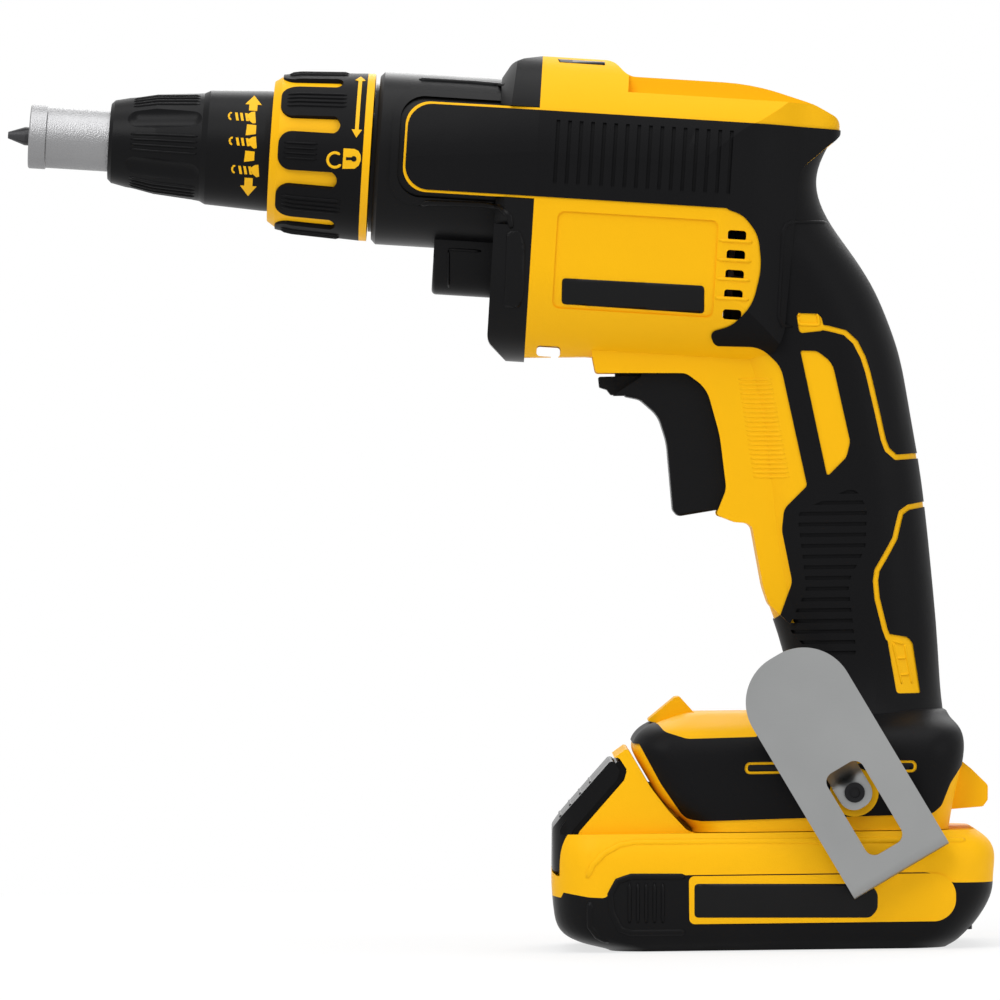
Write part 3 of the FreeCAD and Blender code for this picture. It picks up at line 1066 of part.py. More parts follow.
# Trigger and thumb piece of the reversing lever, seen from the side like the grip
TRIGGER_SHARES = [(-0.662, 0.959, 0), (-0.829, 0.929, 0.03), (-0.725, 0.9225, 0.2), (-0.619, 0.895, 0.5),
                  (-0.571, 0.850, 1.2), (-0.541, 0.736, 0.1), (-0.511, 0.725, 0.1), (-0.286, 0.735, 0),
                  (-0.130, 0.735, 0), (-0.130, 0.959, 0)]
CHEEK_SHARES = [(-0.879, 0.930, 0), (-0.717, 0.9605, 0), (-0.700, 0.976, 0), (-0.200, 0.976, 0),
                (-0.200, 0.930, 0)]
LEVER_SHARES = [(-0.965, 0.962, 0.03), (-0.959, 0.944, 0.03), (-0.916, 0.940, 0.02), (-0.892, 0.931, 0.03),
                (-0.866, 0.931, 0.03), (-0.710, 0.960, 0), (-0.710, 0.9625, 0)]


def make_trigger():
    """Trigger with its return spring, the switch it works and the reversing lever above it."""
    back = d.trigger_back
    shape = region(TRIGGER_SHARES, -d.trigger_half, d.trigger_half)
    front_edges = [edge for edge in shape.Edges if edge.BoundBox.YLength < d.run_gap
                   and edge.BoundBox.XMax < TRIGGER_SHARES[5][0] * d.handle_reach + d.run_gap
                   and edge.BoundBox.ZMax < TRIGGER_SHARES[2][1] * d.handle_height + d.run_gap]
    shape = shape.makeFillet(d.trigger_round, front_edges)
    spring_z = d.trigger_z + d.trigger_pocket
    spring_front = back - d.trigger_pocket
    stem = bar(back - d.trigger_gap, back + d.trigger_stem, d.trigger_stem_r, 0, d.trigger_z)
    room = bar(spring_front, back, d.trigger_spring_r + d.trigger_wire + d.slide_gap, 0, spring_z)
    cheek = region(CHEEK_SHARES, -d.trigger_half, d.cheek - d.trigger_half)
    solid("trigger", joined([shape, stem, cheek, mirrored(cheek)]).cut(room))
    spring = coil(spring_front, d.switch_front, d.trigger_spring_r, d.trigger_wire, d.trigger_turns)
    spring.translate(Vector(0, 0, spring_z))
    solid("trigger_spring", spring)

    low = d.trigger_z - d.switch_height / 2
    high = low + d.switch_height
    end = d.switch_front + d.switch_length
    arm_end = d.switch_front + d.post_length
    arm_half = d.lever_half * 2
    arm_low = d.lever_top + d.seat_gap
    switch = joined([block((d.switch_front, end), (-d.switch_half, d.switch_half), (low, high)),
                     block((d.switch_front, arm_end), (-arm_half, arm_half), (high, d.arm_top)),
                     block((d.lever_pivot_x - d.lever_half, arm_end), (-arm_half, arm_half),
                           (arm_low, d.arm_top))])
    bore = bar(d.switch_front, d.switch_front + d.trigger_stem + d.run_gap, d.trigger_stem_r + d.run_gap, 0,
               d.trigger_z)
    pivot = Vector(d.lever_pivot_x, 0, low)
    hole = Part.makeCylinder(d.lever_pivot_r + d.run_gap, d.handle_height, pivot)
    solid("trigger_switch", switch.cut([bore, hole.common(block((pivot.x - d.overrun, pivot.x + d.overrun),
          (-arm_half, arm_half), (arm_low, d.arm_top)))]))

    arm_bottom = d.lever_top - d.lever_arm
    thumb = region(LEVER_SHARES, -d.thumb_half, d.thumb_half)
    arm = block((LEVER_SHARES[4][0] * d.handle_reach, d.lever_pivot_x + d.lever_half / 2),
                (-d.lever_half, d.lever_half), (arm_bottom, d.lever_top))
    pin = Part.makeCylinder(d.lever_pivot_r, d.arm_top - d.lever_top, Vector(pivot.x, 0, d.lever_top))
    solid("reversing_lever", joined([thumb, arm, pin]))


def across_strip(corners, half):
    """Prism along x of a section given as (y, z, corner radius)."""
    strip = prism(corners, -half, half)
    strip.rotate(Vector(0, 0, 0), Vector(0, 0, 1), 90)
    return strip


def make_hook():
    """Belt hook bent from one strip with a lanced tab, and the screw that holds it."""
    half = d.hook_width / 2
    face = -HOOK_PAD - d.hook_standoff
    outer = face - d.hook_strip
    low = -d.hook_length
    lip = face + d.hook_lip
    strip = across_strip([(outer, d.overrun, 0), (outer, low, d.hook_bend_r), (lip, low, 0),
                          (lip, low + d.hook_strip, 0),
                          (face, low + d.hook_strip, d.hook_bend_r - d.hook_strip), (face, d.overrun, 0)],
                         half)
    outline = prism([(-half, half, half), (half, half, half), (half, low, 0), (-half, low, 0)], outer, lip)
    slot_end = -d.hook_slot_start - d.hook_slot_length
    opening = prism([(side * d.hook_slot_half, z, d.hook_slot_half / 2)
                     for side, z in ((-1, -d.hook_slot_start), (1, -d.hook_slot_start), (1, slot_end),
                                     (-1, slot_end))], outer, face)
    tab_end = -d.hook_tab_reach - d.hook_tab_half
    bend = -d.hook_slot_start - d.hook_standoff / 2
    seat = -HOOK_PAD - d.hook_strip
    tab = across_strip([(outer, -d.hook_slot_start + d.hook_strip, 0), (seat, bend, d.hook_bend_r),
                        (seat, tab_end, 0), (-HOOK_PAD, tab_end, 0),
                        (-HOOK_PAD, bend + d.hook_strip, d.hook_bend_r),
                        (face, -d.hook_slot_start + d.hook_strip, 0)], d.hook_tab_half)
    end_round = prism([(-d.hook_tab_half, 0, 0), (d.hook_tab_half, 0, 0),
                       (d.hook_tab_half, tab_end, d.hook_tab_half),
                       (-d.hook_tab_half, tab_end, d.hook_tab_half)], outer, 0)
    hook = joined([strip.common(outline).cut(opening), tab.common(end_round)])
    spot = Vector(0, 0, -d.hook_tab_reach)
    hook = hook.cut(upright(spot, outer, 0, d.hook_screw_r))
    shank_end = -d.channel_half - d.wall - d.hook_head
    screw = joined([upright(spot, seat - d.hook_head, seat, d.hook_head_r),
                    upright(spot, seat, shank_end, d.hook_screw_r)])
    screw = screw.cut(upright(spot, seat - d.hook_head, seat - d.hook_head / 2, d.hook_screw_r))
    for label, shape in (("belt_hook", hook), ("belt_hook_screw", screw)):
        shape.Placement = HOOK_PLACE.multiply(shape.Placement)
        solid(label, shape)


# Battery pack stations: shares of its height, length (from its front) and half width
PACK_SHARES = [(0.000, 0.129, 0.890, 0.880), (0.070, 0.065, 0.920, 0.928), (0.169, 0.020, 0.947, 0.965),
               (0.315, 0.004, 0.976, 0.987), (0.510, 0.000, 0.997, 1.000), (0.650, 0.000, 1.000, 1.000),
               (0.844, 0.001, 0.999, 0.987), (0.943, 0.003, 0.981, 0.955), (1.000, 0.004, 0.958, 0.923)]
# Side views on the pack in shares of its length, height and half width for corners: front hump, black lower
# case, side frame and release button
HUMP_SHARES = [(0.004, 0.900, 0), (0.002, 1.051, 0.05), (0.023, 1.156, 0.1), (0.129, 1.611, 0.2),
               (0.173, 1.729, 0.02), (0.184, 1.662, 0), (0.225, 1.392, 0.4), (0.265, 1.191, 0.3),
               (0.307, 1.019, 0.1), (0.336, 0.987, 0), (0.336, 0.900, 0)]
LOWER_SHARES = [(-0.100, 0.545, 0), (0.019, 0.465, 0), (0.025, 0.510, 0), (0.082, 0.470, 0.1),
                (0.122, 0.462, 0.05), (0.141, 0.605, 0.1), (0.169, 0.650, 0.1), (0.849, 0.650, 0.2),
                (0.903, 0.560, 0.1), (1.100, 0.548, 0), (1.100, -0.200, 0), (-0.100, -0.200, 0)]
FRAME_SHARES = [(0.308, 0.232, 0.04), (0.308, 0.640, 0.04), (0.910, 0.640, 0.17), (0.910, 0.232, 0.17)]
BUTTON_SHARES = [(0.139, 1.640, 0.03), (0.023, 1.156, 0.1), (0.002, 1.051, 0.05), (0.000, 0.700, 0),
                 (0.013, 0.655, 0), (0.031, 0.900, 0.1), (0.048, 1.035, 0.1), (0.150, 1.465, 0),
                 (0.156, 1.540, 0)]
# The outline's first corners face forward, down to its lowest.
BUTTON_FRONT = 5
PACK_ROUND = 0.35


def pack_form(grow):
    """The pack's main form, grown or shrunk all round by an amount."""
    wires = []
    for level, front, back, half in PACK_SHARES:
        z = level * (d.pack_height + 2 * grow) - grow
        x0 = d.pack_front + front * d.pack_length - grow
        x1 = d.pack_front + back * d.pack_length + grow
        y = half * d.pack_half + grow
        r = PACK_ROUND * y
        wire = rounded_wire([(x0, -y, r), (x0, y, r), (x1, y, r), (x1, -y, r)])
        wire.rotate(Vector(0, 0, 0), Vector(1, 0, 0), 90)
        wire.translate(Vector(0, 0, z))
        wires.append(wire)
    return Part.makeLoft(wires, True, False)


def hump_column():
    """Upright column with the hump's outline from above, its front corners rounded."""
    half = d.pack_hump_half
    back = d.pack_front + d.pack_length
    outline = rounded_wire([(d.pack_front, -half, PACK_ROUND * half), (d.pack_front, half, PACK_ROUND * half),
                            (back, half, 0), (back, -half, 0)])
    outline.rotate(Vector(0, 0, 0), Vector(1, 0, 0), 90)
    return Part.Face(outline).extrude(Vector(0, 0, 2 * d.pack_height))


def pack_region(shares, low, high):
    """Prism across the pack of a side view in shares of its length, height and half width."""
    return prism([(d.pack_front + across * d.pack_length, up * d.pack_height, turn * d.pack_half)
                  for across, up, turn in shares], low, high)


def cell_places():
    """Where the cells stand along the pack."""
    first = d.pack_centre - (d.cell_count - 1) / 2 * d.cell_pitch
    return [first + k * d.cell_pitch for k in range(int(d.cell_count))]


def blade_places():
    """Where the terminal blades stand across the pack."""
    first = -(d.blade_count - 1) / 2 * d.blade_pitch
    return [first + k * d.blade_pitch for k in range(int(d.blade_count))]


BLADE_TOP = d.tower_top + d.slide_gap
BLADE_LOW = BLADE_TOP - d.blade_drop


def make_terminals():
    """Terminal block with its blades in the foot, and the pack's contacts that grip them."""
    end = d.block_front + d.block_length
    blades = [block((d.block_front + d.case_edge, d.block_front + d.blade_length), (y - d.blade_thickness / 2,
              y + d.blade_thickness / 2), (BLADE_LOW, BLADE_TOP)) for y in blade_places()]
    body_block = block((d.block_front, end), (-d.block_half, d.block_half),
                       (BLADE_TOP, BLADE_TOP + d.block_height))
    solid("terminal_block", body_block)
    solid("terminal_blades", Part.makeCompound(blades))
    leaves = []
    inner = d.blade_thickness / 2 + d.contact_gap
    outer = inner + d.contact_leaf
    start = d.block_front + 2 * d.case_edge
    floor = BLADE_LOW - 2 * d.contact_leaf
    for y in blade_places():
        clip = block((start, start + d.contact_length), (y - outer, y + outer),
                     (floor, BLADE_LOW + d.contact_height))
        gap = block((start, start + d.contact_length), (y - inner, y + inner),
                    (floor + d.contact_leaf, BLADE_TOP))
        leaves.append(clip.cut(gap))
    solid("pack_contacts", Part.makeCompound(leaves))


def button_room(half, start):
    """Room that the button's outline sweeps over its travel from a start, a gap wider on all sides."""
    gap = d.slide_gap
    before = (start - gap) / d.pack_length
    after = (start + d.button_travel + gap) / d.pack_length
    front = [(across + before, up, turn) for across, up, turn in BUTTON_SHARES[:BUTTON_FRONT]]
    behind = BUTTON_SHARES[BUTTON_FRONT - 1:] + BUTTON_SHARES[:1]
    back = [(across + after, up, turn) for across, up, turn in behind]
    form = pack_region(front + back, -half - gap, half + gap)
    return joined([form.translated(Vector(0, 0, rise)) for rise in (-gap, gap)])


def make_button():
    """Release button on the pack's front slope with its spring; gives the room that both need."""
    gap = d.slide_gap
    skirt_half = d.pack_hump_half - d.pack_wall
    set_in = Vector(d.button_travel + gap + d.seat_gap, 0, 0)
    above = block((d.pack_front, 0), (-d.pack_half, d.pack_half), (d.pack_height, 2 * d.pack_height))
    skirt = pack_region(BUTTON_SHARES, -skirt_half, skirt_half).translated(set_in).common(above)
    face = pack_region(BUTTON_SHARES, -d.pack_hump_half, d.pack_hump_half).common(hump_column())
    button = joined([face, skirt])
    seat = d.pack_front + d.button_seat
    spring_z = d.pack_height * BUTTON_SHARES[1][1] - d.slide_gap
    well_r = d.button_spring_r + d.button_wire / 2 + d.slide_gap
    rest = seat + d.button_spring_length
    well = bar(seat, rest, well_r, 0, spring_z)
    solid("release_button", button.cut(well))
    spring = coil(seat, rest, d.button_spring_r, d.button_wire, d.button_turns)
    spring.translate(Vector(0, 0, spring_z))
    solid("release_spring", spring)
    return [button_room(d.pack_hump_half, 0), button_room(skirt_half, set_in.x).common(above), well]


def make_pack():
    """Pack cases, side frames, screws, cells with holders and straps, and the board."""
    form = pack_form(0)
    frame_zone = pack_region(FRAME_SHARES, -WIDE, WIDE)
    frame_seat = frame_zone.cut(pack_form(-d.frame_depth))
    frames = pack_form(d.frame_proud).common(frame_seat)
    spots = [Vector(x, y, 0) for x in (d.pack_centre - d.pack_screw_x, d.pack_centre + d.pack_screw_x)
             for y in (-d.pack_screw_y, d.pack_screw_y)]
    posts = [Part.makeCylinder(d.pack_screw_head_r + d.seat_gap, d.pack_height, spot) for spot in spots]
    cavity = pack_form(-d.pack_wall).cut(posts)
    hump = pack_region(HUMP_SHARES, -d.pack_hump_half, d.pack_hump_half).common(hump_column())
    tower = block((d.tower_front, d.tower_back), (-d.tower_half, d.tower_half),
                  (d.pack_height - d.pack_wall, d.tower_top))
    rail_low = d.foot_base + d.rail_height + d.slide_gap
    flange_half = d.channel_half - 2 * d.slide_gap
    flange = block((d.tower_front, d.tower_back), (-flange_half, flange_half),
                   (rail_low, rail_low + d.tower_flange))
    slit = d.blade_thickness / 2 + d.contact_gap + d.contact_leaf
    floor = BLADE_LOW - 2 * d.contact_leaf
    slits = [block((d.block_front, d.tower_back), (y - slit, y + slit), (floor, d.tower_top))
             for y in blade_places()]
    lower_zone = pack_region(LOWER_SHARES, -WIDE, WIDE)
    screw_top = d.pack_screw_low + d.pack_screw_length
    holes = [Part.makeCylinder(d.pack_screw_r, d.pack_screw_length, Vector(s.x, s.y, d.pack_screw_low))
             for s in spots]
    wells = [Part.makeCylinder(d.pack_screw_head_r, d.pack_screw_low + d.overrun,
                               Vector(s.x, s.y, -d.overrun)) for s in spots]
    solid("pack_lower_case", form.common(lower_zone).cut([cavity, frame_seat] + holes + wells))
    upper = joined([form.cut(lower_zone), hump, tower, flange])
    solid("pack_upper_case", upper.cut([cavity, frame_seat] + slits + holes + make_button()))
    left_frame, right_frame = sorted(frames.Solids, key=lambda half: half.CenterOfMass.y)
    solid("side_frame_left", left_frame)
    solid("side_frame_right", right_frame)
    screws = [joined([hole, Part.makeCylinder(d.pack_screw_head_r - d.slide_gap, d.screw_head,
                                              Vector(s.x, s.y, d.pack_screw_low - d.screw_head))])
              for hole, s in zip(holes, spots)]
    solid("pack_screws", Part.makeCompound(screws))
    make_cells()


def make_cells():
    """Cells, the two plates that hold them, their straps and the pack's board."""
    half = d.cell_length / 2
    cells = [Part.makeCylinder(d.cell_r, d.cell_length, Vector(x, -half, d.cell_z), Vector(0, 1, 0))
             for x in cell_places()]
    solid("cells", Part.makeCompound(cells))
    reach = (d.cell_count - 1) / 2 * d.cell_pitch + d.cell_r + d.slide_gap
    inner = half - d.holder_set_in - d.holder_plate
    room = pack_form(-d.pack_wall - d.seat_gap)
    holders = []
    for side in (-1, 1):
        low, high = sorted((side * inner, side * (inner + d.holder_plate)))
        plate = block((d.pack_centre - reach, d.pack_centre + reach), (low, high),
                      (d.cell_z - d.cell_r - d.holder_rim / 2, d.cell_z + d.cell_r + d.holder_rim / 2))
        holders.append(plate.common(room).cut(cells))
    solid("cell_holders", Part.makeCompound(holders))
    straps = []
    for side in (-1, 1):
        low, high = sorted((side * half, side * (half + d.strap_thickness)))
        places = cell_places()[(1 - side) // 2:]
        for first, last in zip(places[::2], places[1::2]):
            straps.append(block((first - d.strap_height / 2, last + d.strap_height / 2), (low, high),
                                (d.cell_z - d.strap_height / 2, d.cell_z + d.strap_height / 2)))
    solid("cell_straps", Part.makeCompound(straps))
    board_low = d.cell_z + d.cell_r + d.holder_rim / 2
    solid("pack_board", block((d.pack_centre - d.board_length / 2, d.pack_centre + d.board_length / 2),
                              (-d.board_half, d.board_half), (board_low, board_low + d.board_thickness)))


def main():
    """Makes every piece, checks the document and writes one file per piece."""
    make_bit()
    make_nose()
    make_ring()
    make_spindle()
    make_light(make_gear_case())
    make_motor()
    make_module()
    make_housing()
    make_trigger()
    make_hook()
    make_terminals()
    make_pack()
    doc.recompute()
    os.makedirs("parts", exist_ok=True)
    for piece in doc.Objects:
        if "Invalid" in piece.State or "Error" in piece.State:
            raise ValueError(f"{piece.Label} did not compute")
    for piece in doc.Objects:
        if piece.TypeId not in ("Part::Feature", "PartDesign::Body") or piece.Label.startswith("blank"):
            continue
        if piece.Shape.isNull() or not piece.Shape.isValid():
            raise ValueError(f"{piece.Label} has no valid shape")
        piece.Shape.exportStep(f"parts/{piece.Label}.step")


main()
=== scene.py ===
"""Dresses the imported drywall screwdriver: finishes, printed marks, ribs, coil springs and studio."""
import logging
import math
from dataclasses import dataclass, field
from enum import Enum
from typing import Callable, Iterable, Sequence

import bmesh
import bpy
from bpy.types import Material, Node, NodeSocket, NodeTree, Object
from mathutils import Matrix, Vector
from mathutils.bvhtree import BVHTree

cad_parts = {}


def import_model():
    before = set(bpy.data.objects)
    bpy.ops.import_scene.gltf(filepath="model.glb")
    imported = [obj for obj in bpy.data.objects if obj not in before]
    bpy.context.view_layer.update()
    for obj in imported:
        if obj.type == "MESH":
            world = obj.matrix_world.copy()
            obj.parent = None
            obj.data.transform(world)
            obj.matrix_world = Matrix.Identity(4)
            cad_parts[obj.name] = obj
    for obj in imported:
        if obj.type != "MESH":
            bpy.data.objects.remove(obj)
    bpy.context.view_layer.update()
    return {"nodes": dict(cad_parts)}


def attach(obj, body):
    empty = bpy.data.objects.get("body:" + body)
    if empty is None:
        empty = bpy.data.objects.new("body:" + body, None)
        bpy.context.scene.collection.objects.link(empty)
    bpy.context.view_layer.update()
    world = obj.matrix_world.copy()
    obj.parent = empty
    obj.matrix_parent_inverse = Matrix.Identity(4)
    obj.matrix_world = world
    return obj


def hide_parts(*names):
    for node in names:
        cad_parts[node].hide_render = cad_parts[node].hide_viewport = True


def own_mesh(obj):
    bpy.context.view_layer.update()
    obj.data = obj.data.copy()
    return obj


Pair = tuple[float, float]
Triple = tuple[float, float, float]
Plan = list[Pair]
Spot = tuple[Vector, Vector]
Drop = Callable[[float, float], Spot | None]
Inputs = dict[str | int, float | tuple[float, ...]]
Nodes = dict[str, Object]

LOG = logging.getLogger("screwdriver")
MM = 0.001
# Start of each finish's name, which keeps it apart from the frame's own materials.
OWN = "finish_"
# Frame of the barrel: its x axis is the spindle's and points to the rear.
BARREL = (Matrix.Translation(Vector((-0.1038, 0.0, 0.2138)))
          @ Matrix.Rotation(math.radians(4.25), 4, "Y"))
# How the photograph's pixels become X and Z: millimetres a pixel, the origin and the turn.
PIXEL_MM = 0.27
PIXEL_ORIGIN = (770.0, 945.0)
PIXEL_TURN = math.radians(0.7)
# What finishes share: broad changes of tone, fine relief, clear coat and depth of a bump.
BROAD_NOISE: Inputs = {"Scale": 28.0, "Detail": 3.0}
BROAD_RANGE: Inputs = {"From Min": 0.3, "From Max": 0.7}
FINE_DETAIL = 2.0
BRUSH_STRETCH = (0.08, 1.0, 1.0)
COAT_ROUGH = 0.25
BUMP_DEPTH = 0.0002
# Clear lens of the work light.
LENS_GLASS: Inputs = {"Base Color": (0.86, 0.9, 0.92, 1.0), "Roughness": 0.08, "Transmission Weight": 0.75}
LENS_WAVES: Inputs = {"Scale": 900.0}
LENS_BUMP: Inputs = {"Strength": 0.1, "Distance": BUMP_DEPTH}
# Stage colours.
WHITE = (1.0, 1.0, 1.0, 1.0)
PAPER: Inputs = {"Base Color": (0.9, 0.9, 0.9, 1.0), "Roughness": 0.9}
# Distances in metres from which rays are sent: beside the tool and round the barrel.
BESIDE = 0.2
ROUND = 0.08
# Section of a ridge as shares of its width and height, and what its ends keep of both.
RIDGE = ((-0.5, -0.35), (-0.42, 0.45), (-0.2, 0.9), (0.0, 1.0), (0.2, 0.9), (0.42, 0.45), (0.5, -0.35))
RIDGE_END_WIDE = 0.55
RIDGE_END_TALL = 0.1
# Fewest places on a surface that make a ridge.
RIDGE_SPOTS = 3
# Share of a plate's height at its eased rim, how far the rim goes into the surface, and slack of a cut.
RIM_SHARE = 0.45
RIM_SINK = 0.15
CUT_SLACK = 1e-6


def set_inputs(node: Node, values: Inputs) -> Node:
    """Sets inputs of a node.

    Args:
        node: The node.
        values: Value of each input by its name or number.

    Returns:
        The same node.
    """
    for key, value in values.items():
        node.inputs[key].default_value = value
    return node


class Grain(Enum):
    """Kinds of fine relief that a finish can carry."""

    MOULD = "mould"
    BLAST = "blast"
    BRUSH = "brush"


@dataclass(frozen=True)
class Finish:
    """One surface finish, made as a node material.

    Attributes:
        name: Material name.
        colour: Linear base colour.
        shade: Linear colour of the broad darker areas.
        rough: Lowest and highest roughness.
        metal: Metallic share.
        grain: Kind of fine relief.
        grain_mm: Size of the relief's cells in millimetres.
        relief: Bump strength.
        coat: Clear coat weight.
        gloss: Strength of the plain reflection at the surface.
    """

    name: str
    colour: Triple
    shade: Triple
    rough: Pair
    metal: float = 0.0
    grain: Grain = Grain.MOULD
    grain_mm: float = 0.5
    relief: float = 0.15
    coat: float = 0.0
    gloss: float = 0.5

    def material(self) -> Material:
        """The node material of this finish, made once."""
        return bpy.data.materials.get(OWN + self.name) or self._build()

    def _build(self) -> Material:
        """Builds the nodes.

        Returns:
            The new material.
        """
        mat = bpy.data.materials.new(OWN + self.name)
        mat.use_nodes = True
        tree = mat.node_tree
        shader = set_inputs(tree.nodes["Principled BSDF"], {
            "Metallic": self.metal, "Specular IOR Level": self.gloss, "Coat Weight": self.coat,
            "Coat Roughness": COAT_ROUGH})
        place = tree.nodes.new("ShaderNodeTexCoord")
        broad = set_inputs(tree.nodes.new("ShaderNodeTexNoise"), BROAD_NOISE)
        tree.links.new(place.outputs["Object"], broad.inputs["Vector"])
        tint = tree.nodes.new("ShaderNodeMix")
        tint.data_type = "RGBA"
        set_inputs(tint, {"A": (*self.colour, 1.0), "B": (*self.shade, 1.0)})
        tree.links.new(broad.outputs["Fac"], tint.inputs["Factor"])
        tree.links.new(tint.outputs["Result"], shader.inputs["Base Color"])
        rough = set_inputs(tree.nodes.new("ShaderNodeMapRange"), {
            **BROAD_RANGE, "To Min": self.rough[0], "To Max": self.rough[1]})
        tree.links.new(broad.outputs["Fac"], rough.inputs["Value"])
        tree.links.new(rough.outputs["Result"], shader.inputs["Roughness"])
        bump = set_inputs(tree.nodes.new("ShaderNodeBump"), {"Strength": self.relief, "Distance": BUMP_DEPTH})
        tree.links.new(self._fine(tree, place), bump.inputs["Height"])
        tree.links.new(bump.outputs["Normal"], shader.inputs["Normal"])
        return mat

    def _fine(self, tree: NodeTree, place: Node) -> NodeSocket:
        """Adds the fine relief's nodes.

        Args:
            tree: Node tree to add to.
            place: Texture coordinate node.

        Returns:
            The socket that carries the relief's height.
        """
        scale = 1.0 / (self.grain_mm * MM)
        vector = place.outputs["Object"]
        if self.grain is Grain.BRUSH:
            stretch = set_inputs(tree.nodes.new("ShaderNodeMapping"), {"Scale": BRUSH_STRETCH})
            tree.links.new(vector, stretch.inputs["Vector"])
            vector = stretch.outputs["Vector"]
        if self.grain is Grain.BLAST:
            cells = set_inputs(tree.nodes.new("ShaderNodeTexVoronoi"), {"Scale": scale})
            tree.links.new(vector, cells.inputs["Vector"])
            return cells.outputs["Distance"]
        noise = set_inputs(tree.nodes.new("ShaderNodeTexNoise"), {"Scale": scale, "Detail": FINE_DETAIL})
        tree.links.new(vector, noise.inputs["Vector"])
        return noise.outputs["Fac"]


YELLOW = Finish("moulded_yellow", (0.95, 0.5, 0.003), (0.92, 0.47, 0.0025), (0.46, 0.54),
                grain_mm=0.35, relief=0.1, gloss=0.12)
YELLOW_RING = Finish("ring_yellow", (0.95, 0.5, 0.003), (0.92, 0.465, 0.0025), (0.4, 0.48),
                     relief=0.05, gloss=0.14)
BLACK_RUBBER = Finish("grip_rubber", (0.005, 0.005, 0.0056), (0.0038, 0.0038, 0.0044), (0.44, 0.54),
                      grain_mm=0.4, relief=0.14, gloss=0.08)
BLACK_MOULD = Finish("black_moulding", (0.0045, 0.0045, 0.005), (0.0035, 0.0035, 0.004), (0.32, 0.42),
                     relief=0.1, gloss=0.1)
GLOSS_BLACK = Finish("gloss_black", (0.004, 0.004, 0.0044), (0.0032, 0.0032, 0.0036), (0.24, 0.32),
                     relief=0.04, gloss=0.1)
CASE_COAT = Finish("black_casting", (0.0045, 0.0045, 0.005), (0.0036, 0.0036, 0.0041), (0.28, 0.38),
                   grain_mm=0.6, relief=0.08, gloss=0.11)
BLASTED = Finish("blasted_aluminium", (0.32, 0.32, 0.325), (0.24, 0.24, 0.245), (0.34, 0.46),
                 metal=1.0, grain=Grain.BLAST, grain_mm=0.34, relief=0.38)
SHEET_STEEL = Finish("stamped_steel", (0.38, 0.385, 0.385), (0.26, 0.265, 0.265), (0.3, 0.4),
                     metal=1.0, grain=Grain.BRUSH, grain_mm=0.3, relief=0.08)
DARK_STEEL = Finish("black_oxide_steel", (0.014, 0.014, 0.016), (0.01, 0.01, 0.011), (0.32, 0.42),
                    metal=0.6, relief=0.1, gloss=0.3)
BIT_STEEL = Finish("bit_steel", (0.046, 0.046, 0.049), (0.032, 0.032, 0.034), (0.34, 0.44),
                   metal=0.2, grain=Grain.BRUSH, grain_mm=0.2, relief=0.08, gloss=0.35)
BRIGHT_STEEL = Finish("ground_steel", (0.42, 0.42, 0.44), (0.34, 0.34, 0.36), (0.22, 0.32),
                      metal=1.0, grain=Grain.BRUSH, grain_mm=0.2, relief=0.1)
SPRING_WIRE = Finish("spring_wire", (0.45, 0.45, 0.46), (0.36, 0.36, 0.37), (0.25, 0.33),
                     metal=1.0, grain=Grain.BRUSH, grain_mm=0.2, relief=0.08)
IRON_STACK = Finish("lamination_stack", (0.2, 0.2, 0.21), (0.15, 0.15, 0.16), (0.42, 0.52),
                    metal=0.8, grain=Grain.BRUSH, grain_mm=0.35, relief=0.3)
COPPER = Finish("enamelled_copper", (0.48, 0.16, 0.05), (0.38, 0.11, 0.035), (0.28, 0.38),
                metal=0.9, grain=Grain.BRUSH, grain_mm=0.6, relief=0.4)
BRASS_STRIP = Finish("plated_strip", (0.6, 0.44, 0.18), (0.5, 0.36, 0.14), (0.26, 0.36),
                     metal=1.0, grain=Grain.BRUSH, grain_mm=0.3, relief=0.1)
NICKEL = Finish("nickel_strip", (0.55, 0.54, 0.5), (0.46, 0.45, 0.42), (0.28, 0.38),
                metal=1.0, grain=Grain.BRUSH, grain_mm=0.3, relief=0.12)
BOARD = Finish("board_mask", (0.012, 0.075, 0.03), (0.008, 0.055, 0.022), (0.32, 0.42), relief=0.06)
CELL_FILM = Finish("cell_film", (0.03, 0.09, 0.24), (0.024, 0.075, 0.2), (0.24, 0.32), relief=0.04, coat=0.3)
GREY_MOULD = Finish("grey_moulding", (0.035, 0.035, 0.037), (0.028, 0.028, 0.03), (0.45, 0.55), relief=0.12)
PRINT_YELLOW = Finish("print_yellow", (0.93, 0.51, 0.006), (0.9, 0.48, 0.005), (0.42, 0.5),
                      relief=0.03, gloss=0.2)
# Black print; the same finish also paints shade on the floor of the foot's slot.
BLACK_PRINT_AND_PAINTED_SHADE = Finish("black_print_and_painted_shade", (0.005, 0.005, 0.0054), (0.004, 0.004, 0.0044), (0.26, 0.34),
                     relief=0.03, gloss=0.14)


def lens_material() -> Material:
    """Makes the clear lens with faint moulded waves.

    Returns:
        The new material.
    """
    mat = bpy.data.materials.new(OWN + "clear_lens")
    mat.use_nodes = True
    tree = mat.node_tree
    shader = set_inputs(tree.nodes["Principled BSDF"], LENS_GLASS)
    waves = set_inputs(tree.nodes.new("ShaderNodeTexNoise"), LENS_WAVES)
    bump = set_inputs(tree.nodes.new("ShaderNodeBump"), LENS_BUMP)
    tree.links.new(waves.outputs["Fac"], bump.inputs["Height"])
    tree.links.new(bump.outputs["Normal"], shader.inputs["Normal"])
    return mat


